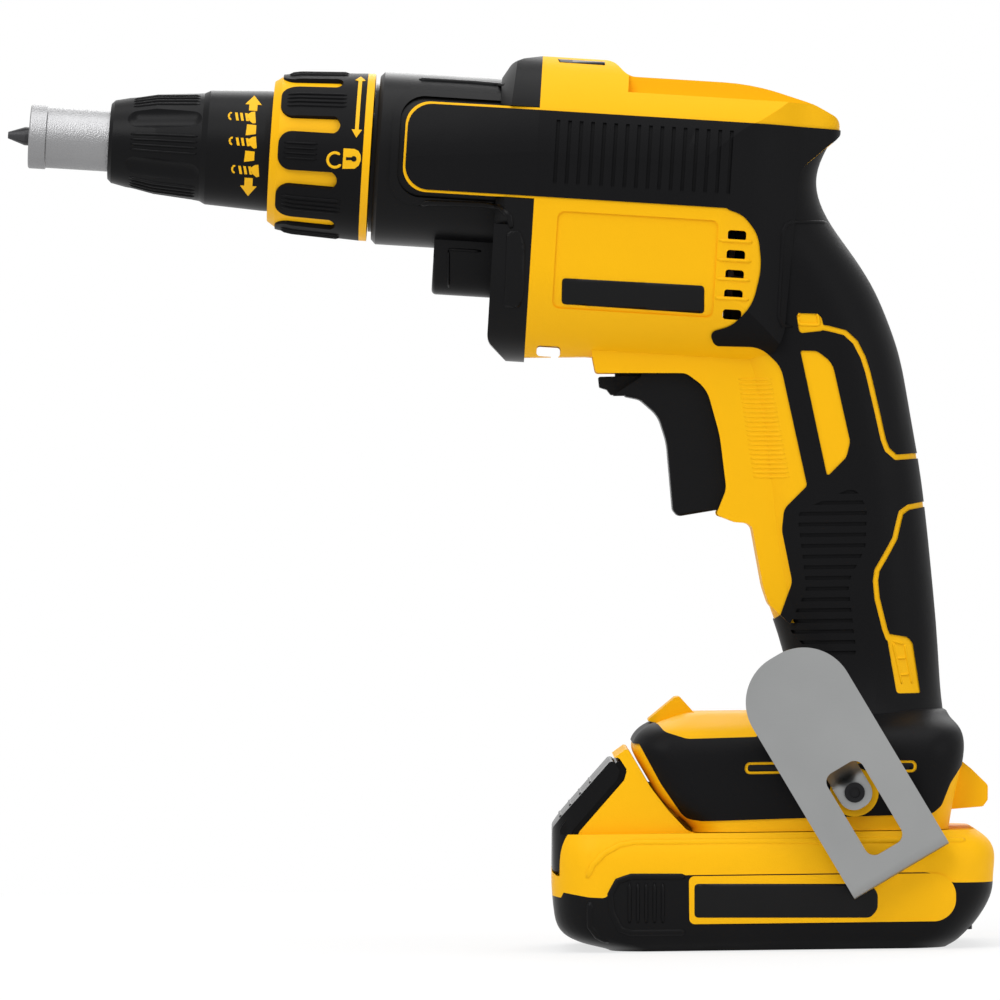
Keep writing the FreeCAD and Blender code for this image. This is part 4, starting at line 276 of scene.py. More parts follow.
FINISH_NODES: dict[Finish, str] = {
    YELLOW: "housing_left housing_right pack_upper_case side_frame_left side_frame_right",
    YELLOW_RING: "lock_ring",
    BLACK_RUBBER: "grip_left grip_right lock_ring_grip",
    CASE_COAT: "gear_case gear_cover",
    BLACK_MOULD: "depth_collar nose_sleeve trigger reversing_lever pack_lower_case",
    GLOSS_BLACK: "release_button",
    BLASTED: "nose_locator",
    SHEET_STEEL: "belt_hook",
    DARK_STEEL: "belt_hook_screw housing_screws pack_screws",
    BIT_STEEL: "driver_bit",
    BRIGHT_STEEL: "bit_holder spindle drive_gear motor_shaft motor_pinion spindle_front_bearing "
                  "spindle_rear_bearing motor_front_bearing motor_rear_bearing",
    SPRING_WIRE: "clutch_spring trigger_spring release_spring",
    IRON_STACK: "rotor stator",
    COPPER: "windings",
    GREY_MOULD: "fan control_module trigger_switch terminal_block cell_holders",
    BOARD: "sensor_board work_light_board pack_board",
    BRASS_STRIP: "terminal_blades pack_contacts",
    CELL_FILM: "cells",
    NICKEL: "cell_straps",
}
NODE_FINISH = {node: finish for finish, names in FINISH_NODES.items() for node in names.split()}


def paint_nodes(nodes: Nodes) -> None:
    """Gives every CAD node its finish.

    Args:
        nodes: CAD objects by name.
    """
    for name, obj in nodes.items():
        mat = lens_material() if name == "work_light_lens" else NODE_FINISH[name].material()
        if obj.material_slots:
            for slot in obj.material_slots:
                slot.material = mat
        else:
            obj.data.materials.append(mat)
        LOG.info("finish %s: %s", name, mat.name)


def new_piece(name: str, verts: Sequence[Vector], faces: Sequence[Sequence[int]], finish: Finish, body: str,
              smooth: bool = True) -> Object:
    """Makes a mesh piece that rides on a body.

    Args:
        name: Piece name.
        verts: Points in the row frame, in metres.
        faces: Point indices of each face.
        finish: Its finish.
        body: CAD body that it rides on.
        smooth: Whether faces are shaded smooth.

    Returns:
        The new object.
    """
    mesh = bpy.data.meshes.new(name)
    mesh.from_pydata([tuple(v) for v in verts], [], [tuple(f) for f in faces])
    mesh.validate()
    for poly in mesh.polygons:
        poly.use_smooth = smooth
    mesh.materials.append(finish.material())
    obj = bpy.data.objects.new(name, mesh)
    bpy.context.scene.collection.objects.link(obj)
    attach(obj, body)
    LOG.info("piece %s on %s: %d faces", name, body, len(mesh.polygons))
    return obj


@dataclass(frozen=True)
class Lamp:
    """One soft square lamp.

    Attributes:
        name: Its name.
        place: Its place in metres.
        size: Its width in metres.
        power: Its power in watts.
    """

    name: str
    place: Triple
    size: float
    power: float


@dataclass
class Studio:
    """Floor, lights and camera.

    Attributes:
        frame_mm: Width of the picture in millimetres.
        lens_mm: Focal length of the camera.
        sensor_mm: Width of the camera's sensor.
        sight: How far the camera sees, in metres.
        roll_deg: Roll of the camera.
        centre_mm: X and Z at the middle of the picture.
        floor_mm: Width of the floor.
        floor_drop_mm: How far the floor lies under the tool.
        floor_glow: Share of plain white in the floor as it is seen.
        world_light: Strength of the light from all around.
        aim: Point that the lamps face, in metres.
        lamps: The lamps.
    """

    frame_mm: float = 270.0
    lens_mm: float = 400.0
    sensor_mm: float = 36.0
    sight: float = 100.0
    roll_deg: float = 0.7
    centre_mm: Pair = (-71.43, 121.03)
    floor_mm: float = 900.0
    floor_drop_mm: float = 0.2
    floor_glow: float = 0.72
    world_light: float = 0.42
    aim: Triple = (-0.06, 0.0, 0.12)
    lamps: tuple[Lamp, ...] = (
        Lamp("key", (-0.7, -1.1, 1.2), 0.9, 11.0), Lamp("fill", (1.1, -1.0, 0.5), 0.9, 4.0),
        Lamp("top", (-0.05, -0.15, 1.3), 1.0, 7.0), Lamp("back", (0.2, 1.2, 0.9), 0.9, 7.0))

    def build(self) -> None:
        """Makes the whole stage."""
        self._world()
        self._floor()
        self._lights()
        self._camera()
        bpy.context.scene.view_settings.view_transform = "Standard"

    @staticmethod
    def _seen(tree: NodeTree) -> NodeSocket:
        """Adds nodes that tell what the camera, metal and glass see from what lights the object.

        Args:
            tree: Node tree to add to.

        Returns:
            The socket that is one for such rays.
        """
        path = tree.nodes.new("ShaderNodeLightPath")
        seen = path.outputs["Is Glossy Ray"]
        for ray in ("Is Transmission Ray", "Is Camera Ray"):
            either = tree.nodes.new("ShaderNodeMath")
            either.operation = "MAXIMUM"
            tree.links.new(seen, either.inputs[0])
            tree.links.new(path.outputs[ray], either.inputs[1])
            seen = either.outputs["Value"]
        return seen

    def _world(self) -> None:
        """White for the camera and reflections, soft grey light on the object."""
        world = bpy.data.worlds.new("studio")
        bpy.context.scene.world = world
        world.use_nodes = True
        tree = world.node_tree
        tree.nodes.clear()
        out = tree.nodes.new("ShaderNodeOutputWorld")
        seen = set_inputs(tree.nodes.new("ShaderNodeBackground"), {"Color": WHITE})
        lit = set_inputs(tree.nodes.new("ShaderNodeBackground"), {
            "Color": WHITE, "Strength": self.world_light})
        mix = tree.nodes.new("ShaderNodeMixShader")
        tree.links.new(self._seen(tree), mix.inputs["Fac"])
        tree.links.new(lit.outputs["Background"], mix.inputs[1])
        tree.links.new(seen.outputs["Background"], mix.inputs[2])
        tree.links.new(mix.outputs["Shader"], out.inputs["Surface"])

    def _floor(self) -> None:
        """White floor that keeps the object's shadow."""
        mesh = bpy.data.meshes.new("floor")
        half, low = self.floor_mm * MM / 2, -self.floor_drop_mm * MM
        mesh.from_pydata([(-half, -half, low), (half, -half, low), (half, half, low), (-half, half, low)], [],
                         [(0, 1, 2, 3)])
        mat = bpy.data.materials.new("floor_paper")
        mat.use_nodes = True
        tree = mat.node_tree
        paper = set_inputs(tree.nodes["Principled BSDF"], PAPER)
        glow = set_inputs(tree.nodes.new("ShaderNodeEmission"), {"Color": WHITE})
        share = set_inputs(tree.nodes.new("ShaderNodeMath"), {1: self.floor_glow})
        share.operation = "MULTIPLY"
        tree.links.new(self._seen(tree), share.inputs[0])
        mix = tree.nodes.new("ShaderNodeMixShader")
        tree.links.new(share.outputs["Value"], mix.inputs["Fac"])
        tree.links.new(paper.outputs["BSDF"], mix.inputs[1])
        tree.links.new(glow.outputs["Emission"], mix.inputs[2])
        tree.links.new(mix.outputs["Shader"], tree.nodes["Material Output"].inputs["Surface"])
        mesh.materials.append(mat)
        obj = bpy.data.objects.new("floor", mesh)
        bpy.context.scene.collection.objects.link(obj)

    def _lights(self) -> None:
        """Large soft lamps above, in front and behind."""
        for lamp in self.lamps:
            data = bpy.data.lights.new(lamp.name, "AREA")
            data.energy = lamp.power
            data.size = lamp.size
            obj = bpy.data.objects.new(lamp.name, data)
            obj.location = lamp.place
            heading = Vector(self.aim) - Vector(lamp.place)
            obj.rotation_euler = heading.to_track_quat("-Z", "Y").to_euler()
            bpy.context.scene.collection.objects.link(obj)

    def _camera(self) -> None:
        """Level camera on the tool's left, far away with a long lens."""
        data = bpy.data.cameras.new("camera")
        data.lens = self.lens_mm
        data.sensor_width = self.sensor_mm
        data.clip_end = self.sight
        reach = self.frame_mm * MM * self.lens_mm / self.sensor_mm
        cam = bpy.data.objects.new("camera", data)
        level = Matrix.Rotation(math.radians(90.0), 4, "X")
        roll = Matrix.Rotation(math.radians(self.roll_deg), 4, "Y")
        spot = Vector((self.centre_mm[0] * MM, -reach, self.centre_mm[1] * MM))
        cam.matrix_world = Matrix.Translation(spot) @ roll @ level
        bpy.context.scene.collection.objects.link(cam)
        bpy.context.scene.camera = cam


class Side(Enum):
    """Which flank of the tool a detail sits on: the sign of Y."""

    LEFT = -1.0
    RIGHT = 1.0

    @property
    def tag(self) -> str:
        """Word for this flank in names."""
        return self.name.lower()


def photo_xz(px: float, py: float) -> Pair:
    """Turns a pixel of the photograph into X and Z.

    Args:
        px: Pixel column.
        py: Pixel row.

    Returns:
        X and Z in millimetres.
    """
    across, up = px - PIXEL_ORIGIN[0], PIXEL_ORIGIN[1] - py
    cos, sin = math.cos(PIXEL_TURN), math.sin(PIXEL_TURN)
    return PIXEL_MM * (across * cos + up * sin), PIXEL_MM * (up * cos - across * sin)


def photo_plan(pixels: Iterable[Pair]) -> Plan:
    """Turns pixels of the photograph into X and Z, in millimetres."""
    return [photo_xz(px, py) for px, py in pixels]


def barrel_xz(along: float, up: float) -> Pair:
    """Turns a place in the barrel's frame into X and Z, all in millimetres."""
    spot = BARREL @ Vector((along * MM, 0.0, up * MM))
    return spot.x / MM, spot.z / MM


def moved(plan: Iterable[Pair], along: float, up: float) -> Plan:
    """Moves an outline by two distances in its own plane."""
    return [(x + along, z + up) for x, z in plan]


def arc(centre: Pair, r: float, degrees: Iterable[float]) -> Plan:
    """Points on a circle of a centre and radius in millimetres, at some angles."""
    turns = [math.radians(angle) for angle in degrees]
    return [(centre[0] + r * math.cos(turn), centre[1] + r * math.sin(turn)) for turn in turns]


def line_of(ends: Sequence[Pair], step: float = 1.0) -> Plan:
    """Points along a polyline.

    Args:
        ends: Its corners in millimetres.
        step: Distance between points.

    Returns:
        The points.
    """
    points: Plan = []
    for (x0, z0), (x1, z1) in zip(ends, ends[1:]):
        count = max(2, int(math.dist((x0, z0), (x1, z1)) / step))
        points.extend((x0 + (x1 - x0) * k / count, z0 + (z1 - z0) * k / count) for k in range(count))
    points.append(ends[-1])
    return points


def rounded(corners: Sequence[Pair], r: float, arcs: int = 5) -> Plan:
    """Rounds the corners of a closed outline.

    Args:
        corners: Corner points in millimetres.
        r: Corner radius.
        arcs: Points on each corner.

    Returns:
        The outline.
    """
    plan: Plan = []
    count = len(corners)
    for k in range(count):
        before, here, after = Vector(corners[k - 1]), Vector(corners[k]), Vector(corners[(k + 1) % count])
        first = here + (before - here).normalized() * r
        last = here + (after - here).normalized() * r
        for step in range(arcs + 1):
            t = step / arcs
            spot = first * (1 - t) ** 2 + here * (2 * t * (1 - t)) + last * t ** 2
            plan.append((spot.x, spot.y))
    return plan


class Probe:
    """Finds places on the surfaces of CAD nodes."""

    def __init__(self, nodes: Nodes, names: Iterable[str], side: Side = Side.LEFT) -> None:
        """Gathers the faces of some nodes.

        Args:
            nodes: CAD objects by name.
            names: The nodes whose surfaces are used.
            side: The flank that is looked at.
        """
        self.side = side
        points: list[Vector] = []
        faces: list[list[int]] = []
        for name in names:
            mesh = nodes[name].data
            base = len(points)
            points.extend(vert.co.copy() for vert in mesh.vertices)
            faces.extend([base + index for index in poly.vertices] for poly in mesh.polygons)
        self.tree = BVHTree.FromPolygons(points, faces)

    def first(self, start: Vector, heading: Vector) -> Spot | None:
        """First face met from a point in a direction.

        Args:
            start: The point, in metres.
            heading: The direction.

        Returns:
            Point and outward normal, or None where the ray meets nothing.
        """
        place, normal, _, _ = self.tree.ray_cast(start, heading)
        if place is None:
            return None
        return place, (-normal if normal.dot(heading) > 0.0 else normal).normalized()

    def flank(self, x: float, z: float) -> Spot | None:
        """Place on the flank at X and Z in millimetres, or None where there is no surface."""
        sign = self.side.value
        return self.first(Vector((x * MM, sign * BESIDE, z * MM)), Vector((0.0, -sign, 0.0)))

    def beside_barrel(self, along: float, up: float) -> Spot | None:
        """Place on the flank of a point in the barrel's frame, in millimetres."""
        return self.flank(*barrel_xz(along, up))

    def trace(self, pixels: Iterable[Pair], step: float = 1.0) -> list[Spot | None]:
        """Places on the flank, a step apart, along a line through pixels of the photograph."""
        return [self.flank(x, z) for x, z in line_of(photo_plan(pixels), step)]

    def round(self, along: float, turn: float) -> Spot | None:
        """Place round the barrel axis.

        Args:
            along: Place along the axis in millimetres.
            turn: Angle from the left flank upwards, in radians.

        Returns:
            Point and normal, or None where the ray meets nothing.
        """
        out = Vector((0.0, -math.cos(turn), math.sin(turn)))
        start = BARREL @ (Vector((along * MM, 0.0, 0.0)) + out * ROUND)
        return self.first(start, BARREL.to_3x3() @ -out)


@dataclass
class Relief:
    """Collects raised strips and plates, then makes them one piece.

    Attributes:
        name: Piece name.
        finish: Its finish.
        body: Body that it rides on.
        slot: Material slot of the record; not used.
        points: Points so far, in metres.
        faces: Faces so far.
    """

    name: str
    finish: Finish
    body: str
    slot: str
    points: list[Vector] = field(default_factory=list)
    faces: list[tuple[int, ...]] = field(default_factory=list)

    def strip(self, spots: Sequence[Spot | None], width: float, height: float) -> None:
        """Adds a rounded ridge along places on a surface.

        Args:
            spots: Points and normals along the ridge.
            width: Width in millimetres.
            height: Height in millimetres.
        """
        run = [spot for spot in spots if spot is not None]
        if len(run) < RIDGE_SPOTS:
            return
        base, count, last = len(self.points), len(RIDGE), len(run) - 1
        for step, (place, normal) in enumerate(run):
            ahead = run[min(step + 1, last)][0] - run[max(step - 1, 0)][0]
            across = normal.cross(ahead).normalized()
            tall, wide = (RIDGE_END_TALL, RIDGE_END_WIDE) if step in (0, last) else (1.0, 1.0)
            for u, v in RIDGE:
                lift = v * height * (tall if v > 0.0 else 1.0)
                self.points.append(place + across * (u * width * wide * MM) + normal * (lift * MM))
        for step in range(last):
            for k in range(count - 1):
                low = base + step * count + k
                self.faces.append((low, low + 1, low + count + 1, low + count))
        self.faces.append(tuple(base + k for k in reversed(range(count))))
        self.faces.append(tuple(base + last * count + k for k in range(count)))

    def lines(self, probe: Probe, lines: Iterable[Iterable[Pair]], size: Pair, step: float = 1.0) -> None:
        """Adds ridges of one width and height along lines through pixels of the photograph."""
        for line in lines:
            self.strip(probe.trace(line, step), *size)

    def plate(self, plan: Sequence[Pair], drop: Drop, rise: float, edge: float = 0.0,
              step: float = 1.2) -> None:
        """Adds a plate or print that follows a surface.

        Args:
            plan: Outline in millimetres.
            drop: Gives the surface place of an outline point.
            rise: Height over the surface in millimetres.
            edge: Width of the eased edge in millimetres.
            step: Size of its facets in millimetres.
        """
        work = self._facets(plan, edge, step)
        rim = {vert.index for bound in work.edges if bound.is_boundary for vert in bound.verts}
        found = {vert.index: spot for vert in work.verts if (spot := drop(vert.co.x, vert.co.z))}
        base: dict[int, int] = {}
        for index, (place, normal) in found.items():
            base[index] = len(self.points)
            high = rise * (RIM_SHARE if edge and index in rim else 1.0)
            self.points.append(place + normal * (high * MM))
        for face in work.faces:
            ring = [vert.index for vert in face.verts]
            if all(index in base for index in ring):
                self.faces.append(tuple(base[index] for index in ring))
        low: dict[int, int] = {}
        for index in rim & set(found):
            low[index] = len(self.points)
            place, normal = found[index]
            self.points.append(place - normal * (RIM_SINK * MM))
        for bound in work.edges:
            if bound.is_boundary and all(vert.index in low for vert in bound.verts):
                loop = bound.link_loops[0]
                a, b = loop.vert.index, loop.link_loop_next.vert.index
                self.faces.append((base[b], base[a], low[a], low[b]))
        work.free()

    @staticmethod
    def _facets(plan: Sequence[Pair], edge: float, step: float) -> bmesh.types.BMesh:
        """Cuts a flat outline into small facets.

        Args:
            plan: Outline in millimetres.
            edge: Width of the eased edge in millimetres.
            step: Size of the facets in millimetres.

        Returns:
            The facets, lying at X and Z.
        """
        work = bmesh.new()
        work.faces.new([work.verts.new((x, 0.0, z)) for x, z in plan])
        work.normal_update()
        bmesh.ops.triangulate(work, faces=work.faces[:])
        for axis in (0, 2):
            values = [vert.co[axis] for vert in work.verts]
            at = min(values) + step
            while at < max(values):
                spot, heading = [0.0, 0.0, 0.0], [0.0, 0.0, 0.0]
                spot[axis], heading[axis] = at, 1.0
                bmesh.ops.bisect_plane(work, geom=work.verts[:] + work.edges[:] + work.faces[:],
                                       dist=CUT_SLACK, plane_co=spot, plane_no=heading)
                at += step
        if edge:
            bmesh.ops.inset_region(work, faces=work.faces[:], thickness=edge, use_even_offset=True)
        work.verts.index_update()
        return work

    def build(self, smooth: bool = True) -> None:
        """Makes the piece, if anything was added.

        Args:
            smooth: Whether faces are shaded smooth.
        """
        if not self.faces:
            LOG.warning("nothing in %s", self.name)
            return
        new_piece(self.name, self.points, self.faces, self.finish, self.body, smooth)


def ridge_pieces(body: str, *rows: tuple[str, Finish, str, Probe, Iterable[Iterable[Pair]], Pair]) -> None:
    """Makes a piece of ridges on a flank from each row.

    Args:
        body: Body that they ride on.
        rows: Start of the name, finish, slot, surface, lines in pixels, and width and height of each.
    """
    for name, finish, slot, probe, lines, size in rows:
        relief = Relief(f"{name}_{probe.side.tag}", finish, body, slot)
        relief.lines(probe, lines, size)
        relief.build()


@dataclass(frozen=True)
class LobeRidges:
    """Fine ridges along the lobes of a turned part.

    Attributes:
        lobes: Number of lobes.
        apart_deg: Angle between two ridges.
        start: Front end of the ridges along the barrel, in millimetres.
        spots: Places along a ridge, one a millimetre.
        left_spots: Places along a ridge of the lobe on the left flank.
        height: Height of a ridge in millimetres.
        width: Width of a ridge in millimetres.
        rows: Ridges of a lobe, counted from its middle.
    """

    lobes: int
    apart_deg: float
    start: float
    spots: int
    left_spots: int
    height: float
    width: float = 0.75
    rows: tuple[float, ...] = (-1.5, -0.5, 0.5, 1.5)

    def build(self, relief: Relief, probe: Probe) -> None:
        """Makes the ridges.

        Args:
            relief: The piece that they become.
            probe: The surface that they stand on.
        """
        for lobe in range(self.lobes):
            spots = self.spots if lobe else self.left_spots
            for row in self.rows:
                turn = math.tau * lobe / self.lobes + math.radians(self.apart_deg * row)
                line = [probe.round(self.start + k, turn) for k in range(spots)]
                relief.strip(line, self.width, self.height)
        relief.build()


COLLAR_LOBES = LobeRidges(lobes=6, apart_deg=6.2, start=-66.0, spots=19, left_spots=19, height=0.38)
RING_LOBES = LobeRidges(lobes=9, apart_deg=3.6, start=-24.5, spots=17, left_spots=10, height=0.4)
# Outlines of the collar's prints, along and up in millimetres, and the places of its screws and links.
UP_ARROW = ((0.0, 14.4), (2.2, 11.9), (1.1, 11.9), (1.1, 10.2), (-1.1, 10.2), (-1.1, 11.9), (-2.2, 11.9))
DOWN_ARROW = ((0.0, -12.6), (-2.2, -10.0), (-1.1, -10.0), (-1.1, -7.9), (1.1, -7.9), (1.1, -10.0),
              (2.2, -10.0))
SCREW_PLACES = ((-0.7, 8.4), (0.0, 1.65), (1.1, -5.85))
SCREW_HEAD = ((1.3, 1.6), (1.7, -1.5), (0.9, -1.7), (-0.5, -0.6), (-0.7, 0.7), (0.3, 1.4))
SCREW_TURN = ((0.0, 1.0), (0.7, 1.0), (1.2, -1.1), (0.5, -1.1))
SCREW_TURNS = (-1.4, -2.75, -4.1)
SCREW_TIP = ((-4.9, 1.0), (-5.6, 0.7), (-5.7, -0.4), (-5.0, -1.0))
LINK = ((-1.3, 1.5), (1.2, 1.4), (1.2, -1.0), (-1.5, -1.5))
LINK_PLACES = (4.9, -2.2)
# Outlines of the ring's prints, along and up in millimetres.
DOUBLE_ARROW = ((0.0, 21.3), (1.4, 20.2), (0.5, 20.0), (0.5, 6.6), (1.4, 6.6), (0.0, 4.4), (-1.4, 6.6),
                (-0.5, 6.6), (-0.5, 20.0), (-1.4, 20.2))
LOCK_BODY = ((-8.5, 1.35), (-5.6, 1.35), (-4.5, 0.9), (-3.8, -0.2), (-3.7, -1.6), (-4.2, -3.0),
             (-5.2, -3.9), (-8.5, -4.1))
LOCK_SHACKLE = arc((-10.65, -1.9), 1.95, range(50, 338, 12))
KEY_EYE = arc((-5.6, -1.3), 0.75, range(0, 360, 30))
KEY_SLOT = ((-5.9, -0.95), (-5.9, -1.65), (-7.7, -1.75), (-7.7, -0.95))


@dataclass
class NoseMarks:
    """Ridges and printed setting marks of the collar and the lock ring.

    Attributes:
        mark_x: Place of the setting marks along the barrel.
        arrow_x: Place of the ring's arrow along the barrel.
        print_rise: Height of a print over the surface, in millimetres.
        over_rise: Height of a print that lies on another one.
        facet: Size of a print's facets.
        tip_width: Width of the line at a screw's tip.
        tip_parts: Parts of each stretch of that line.
        shackle_width: Width of the padlock's shackle.
    """

    mark_x: float = -33.6
    arrow_x: float = -5.3
    print_rise: float = 0.12
    over_rise: float = 0.204
    facet: float = 0.5
    tip_width: float = 0.6
    tip_parts: int = 4
    shackle_width: float = 0.8

    def build(self, nodes: Nodes) -> None:
        """Makes all its pieces.

        Args:
            nodes: CAD objects by name.
        """
        collar = Probe(nodes, ["depth_collar"])
        ring = Probe(nodes, ["lock_ring_grip", "lock_ring"])
        COLLAR_LOBES.build(Relief("collar_ridges", BLACK_MOULD, "collar", "collar_plastic"), collar)
        RING_LOBES.build(Relief("ring_ridges", BLACK_RUBBER, "ring", "ring_rubber"), ring)
        self._setting_marks(collar.beside_barrel)
        self._lock_marks(ring.beside_barrel)

    def _setting_marks(self, drop: Drop) -> None:
        """Printed arrows, screws and links on the collar's band.

        Args:
            drop: Gives the collar's place of a point in the barrel's frame.
        """
        relief = Relief("depth_marks", PRINT_YELLOW, "collar", "yellow_ring")
        for plan, up in ((UP_ARROW, 0.0), (DOWN_ARROW, 0.0), *((LINK, up) for up in LINK_PLACES)):
            relief.plate(moved(plan, self.mark_x, up), drop, self.print_rise, step=self.facet)
        for along, up in SCREW_PLACES:
            self._screw(relief, drop, self.mark_x + along, up)
        relief.build(smooth=False)

    def _screw(self, relief: Relief, drop: Drop, x: float, up: float) -> None:
        """Adds one printed screw with its head to the rear.

        Args:
            relief: Where it is added.
            drop: Gives the surface place of a point in the barrel's frame.
            x: Place along the barrel, in millimetres.
            up: Height over the axis, in millimetres.
        """
        for plan, along in ((SCREW_HEAD, 0.0), *((SCREW_TURN, along) for along in SCREW_TURNS)):
            relief.plate(moved(plan, x + along, up), drop, self.print_rise, step=self.facet)
        tip = moved(SCREW_TIP, x, up)
        shares = [k / self.tip_parts for k in range(self.tip_parts + 1)]
        for (x0, z0), (x1, z1) in zip(tip, tip[1:]):
            path = [drop(x0 + (x1 - x0) * t, z0 + (z1 - z0) * t) for t in shares]
            relief.strip(path, self.tip_width, self.print_rise)

    def _lock_marks(self, drop: Drop) -> None:
        """Printed double arrow and open padlock on the ring's rubber.

        Args:
            drop: Gives the ring's place of a point in the barrel's frame.
        """
        relief = Relief("lock_marks", PRINT_YELLOW, "ring", "yellow_ring")
        for plan in (moved(DOUBLE_ARROW, self.arrow_x, 0.0), LOCK_BODY):
            relief.plate(plan, drop, self.print_rise, step=self.facet)
        relief.strip([drop(*spot) for spot in LOCK_SHACKLE], self.shackle_width, self.print_rise)
        relief.build(smooth=False)
        hole = Relief("lock_keyhole", BLACK_PRINT_AND_PAINTED_SHADE, "ring", "ring_rubber")
        for plan in (KEY_EYE, KEY_SLOT):
            hole.plate(plan, drop, self.over_rise, step=self.facet)
        hole.build(smooth=False)


# Sizes of the trim below are in millimetres, and a pair of them is a width and a height.
# Lines of the housing in pixels of the photograph: badge, panel behind the trigger and vents.
BADGE = ((561.5, 280), (702.5, 287.6), (702.5, 315), (561, 305.5))
PANEL_TOP = ((737, 380), (770, 380))
PANEL_LOW = ((752, 477), (788, 477))
VENT_ROWS = (243.5, 262.5, 281.5, 300.5)
VENT_BAR = ((716.5, -1.0), (750.5, 1.0))
VENT_STEP = -1.2
# The spine's line, the frame and the ladder on the patches, and the strip on the hump.
SPINE_LINE = ((826, 223), (790, 224), (784, 227), (781, 233), (779, 275),
              (776.5, 318), (780, 327), (791, 327.5))
UPPER_PATCH = ((796.5, 314), (815.5, 314.5), (817.5, 326), (797, 325.5))
LADDER = (((890.6, 640.5), (901.7, 643.5)), ((902.5, 644), (909.7, 682.6)),
          ((894.4, 657.4), (904, 657.4)), ((896.7, 673.8), (906.7, 673.8)),
          ((890.6, 641.5), (899.5, 683)))
HUMP_STRIP = ((557.5, 60.5), (604.5, 63.5), (604.5, 67.0), (559.5, 64.0))
# Floor of the slot in the foot, X and Z in millimetres; a black plate there is painted shade.
FOOT_SLOT = ((-6.2, 47.75), (-6.2, 49.55), (38.1, 49.55), (38.1, 47.75))


@dataclass
class HousingTrim:
    """Badge, fine ribs and panel lines of the two housing halves.

    Attributes:
        rib_count: Fine ribs on the panel behind the trigger.
        rib: Size of those ribs.
        badge_rise: How far the badge stands out.
        badge_corner: Radius of its corners.
        badge_edge: Width of its eased edge.
        vent_bar: Size of a bar between vents.
        spine: Size of the spine's line.
        patch: Size of the frame on the upper patch.
        rung: Size of a line of the ladder.
        small_corner: Corner radius of the upper patch and of the slot's floor.
        fine_step: Distance between places on the patches' lines.
        inset_rise: How far the dark strip on the hump and the painted shade on the slot's floor stand out.
        strip_facet: Size of the facets of the hump's strip.
        slot_facet: Size of the facets of the slot's floor.
    """

    rib_count: int = 22
    rib: Pair = (0.8, 0.17)
    badge_rise: float = 0.25
    badge_corner: float = 1.1
    badge_edge: float = 0.25
    vent_bar: Pair = (1.0, 0.45)
    spine: Pair = (1.1, 0.35)
    patch: Pair = (0.9, 0.4)
    rung: Pair = (0.7, 0.3)
    small_corner: float = 0.8
    fine_step: float = 0.5
    inset_rise: float = 0.08
    strip_facet: float = 0.8
    slot_facet: float = 1.0

    def build(self, nodes: Nodes) -> None:
        """Makes the trim of both flanks.

        Args:
            nodes: CAD objects by name.
        """
        for side in Side:
            half = f"housing_{side.tag}"
            shell = Probe(nodes, [half], side)
            self._plates(shell)
            self._ridges(shell, Probe(nodes, [half, f"grip_{side.tag}", "gear_case"], side))
            self._patch_relief(shell)

    def _plates(self, shell: Probe) -> None:
        """Plain badge in the flank's recess, dark strip on the hump and painted shade on the floor of the
        foot's slot.

        Args:
            shell: The half's surface.
        """
        badge = Relief(f"badge_{shell.side.tag}", BLACK_PRINT_AND_PAINTED_SHADE, "housing", "black_grip")
        plan = rounded(photo_plan(BADGE), self.badge_corner)
        badge.plate(plan, shell.flank, self.badge_rise, self.badge_edge)
        badge.build()
        dark = Relief(f"dark_insets_{shell.side.tag}", BLACK_PRINT_AND_PAINTED_SHADE, "housing", "black_grip")
        dark.plate(photo_plan(HUMP_STRIP), shell.flank, self.inset_rise, step=self.strip_facet)
        # A black plate on the slot's floor paints the slot's shade.
        plan = rounded(FOOT_SLOT, self.small_corner)
        dark.plate(plan, shell.flank, self.inset_rise, step=self.slot_facet)
        dark.build()

    def _ridges(self, shell: Probe, skin: Probe) -> None:
        """Fine ribs behind the trigger, bars between the vents and the spine's raised line.

        Args:
            shell: The half's surface.
            skin: The surfaces that the spine's line runs over.
        """
        shares = [k / (self.rib_count - 1) for k in range(self.rib_count)]
        ribs = [[(x0 + (x1 - x0) * t, y0 + (y1 - y0) * t)
                 for (x0, y0), (x1, y1) in zip(PANEL_TOP, PANEL_LOW)] for t in shares]
        bars = [moved(VENT_BAR, VENT_STEP * k, row) for k, row in enumerate(VENT_ROWS)]
        ridge_pieces("housing", ("panel_ribs", YELLOW, "yellow_shell", shell, ribs, self.rib),
                     ("vent_ribs", YELLOW, "yellow_shell", shell, bars, self.vent_bar),
                     ("spine_line", BLACK_RUBBER, "black_grip", skin, [SPINE_LINE], self.spine))

    def _patch_relief(self, shell: Probe) -> None:
        """Raised frame on the small upper patch and ladder on the lower one.

        Args:
            shell: The half's surface.
        """
        relief = Relief(f"patch_relief_{shell.side.tag}", YELLOW, "housing", "yellow_shell")
        ring = rounded(photo_plan(UPPER_PATCH), self.small_corner)
        closed = line_of(ring + ring[:1], self.fine_step)
        relief.strip([shell.flank(x, z) for x, z in closed], *self.patch)
        relief.lines(shell, LADDER, self.rung, self.fine_step)
        relief.build()


# Lines of the gear case in pixels of the photograph.
CASE_LEDGES = (((419, 80.6), (472, 83.7), (504, 86.6)),
               ((419, 207.1), (429.2, 204.8), (484.3, 206.6), (500.6, 210.2), (509.5, 219.4),
                (511.5, 231)))
CASE_RIBS = (((448.6, 250), (481.2, 252)), ((448.6, 251), (448.6, 288)))
CASE_PLATE = ((506.5, 233.5), (519.5, 233), (525, 246), (524.5, 292), (520, 309), (503, 309), (504.7, 292))


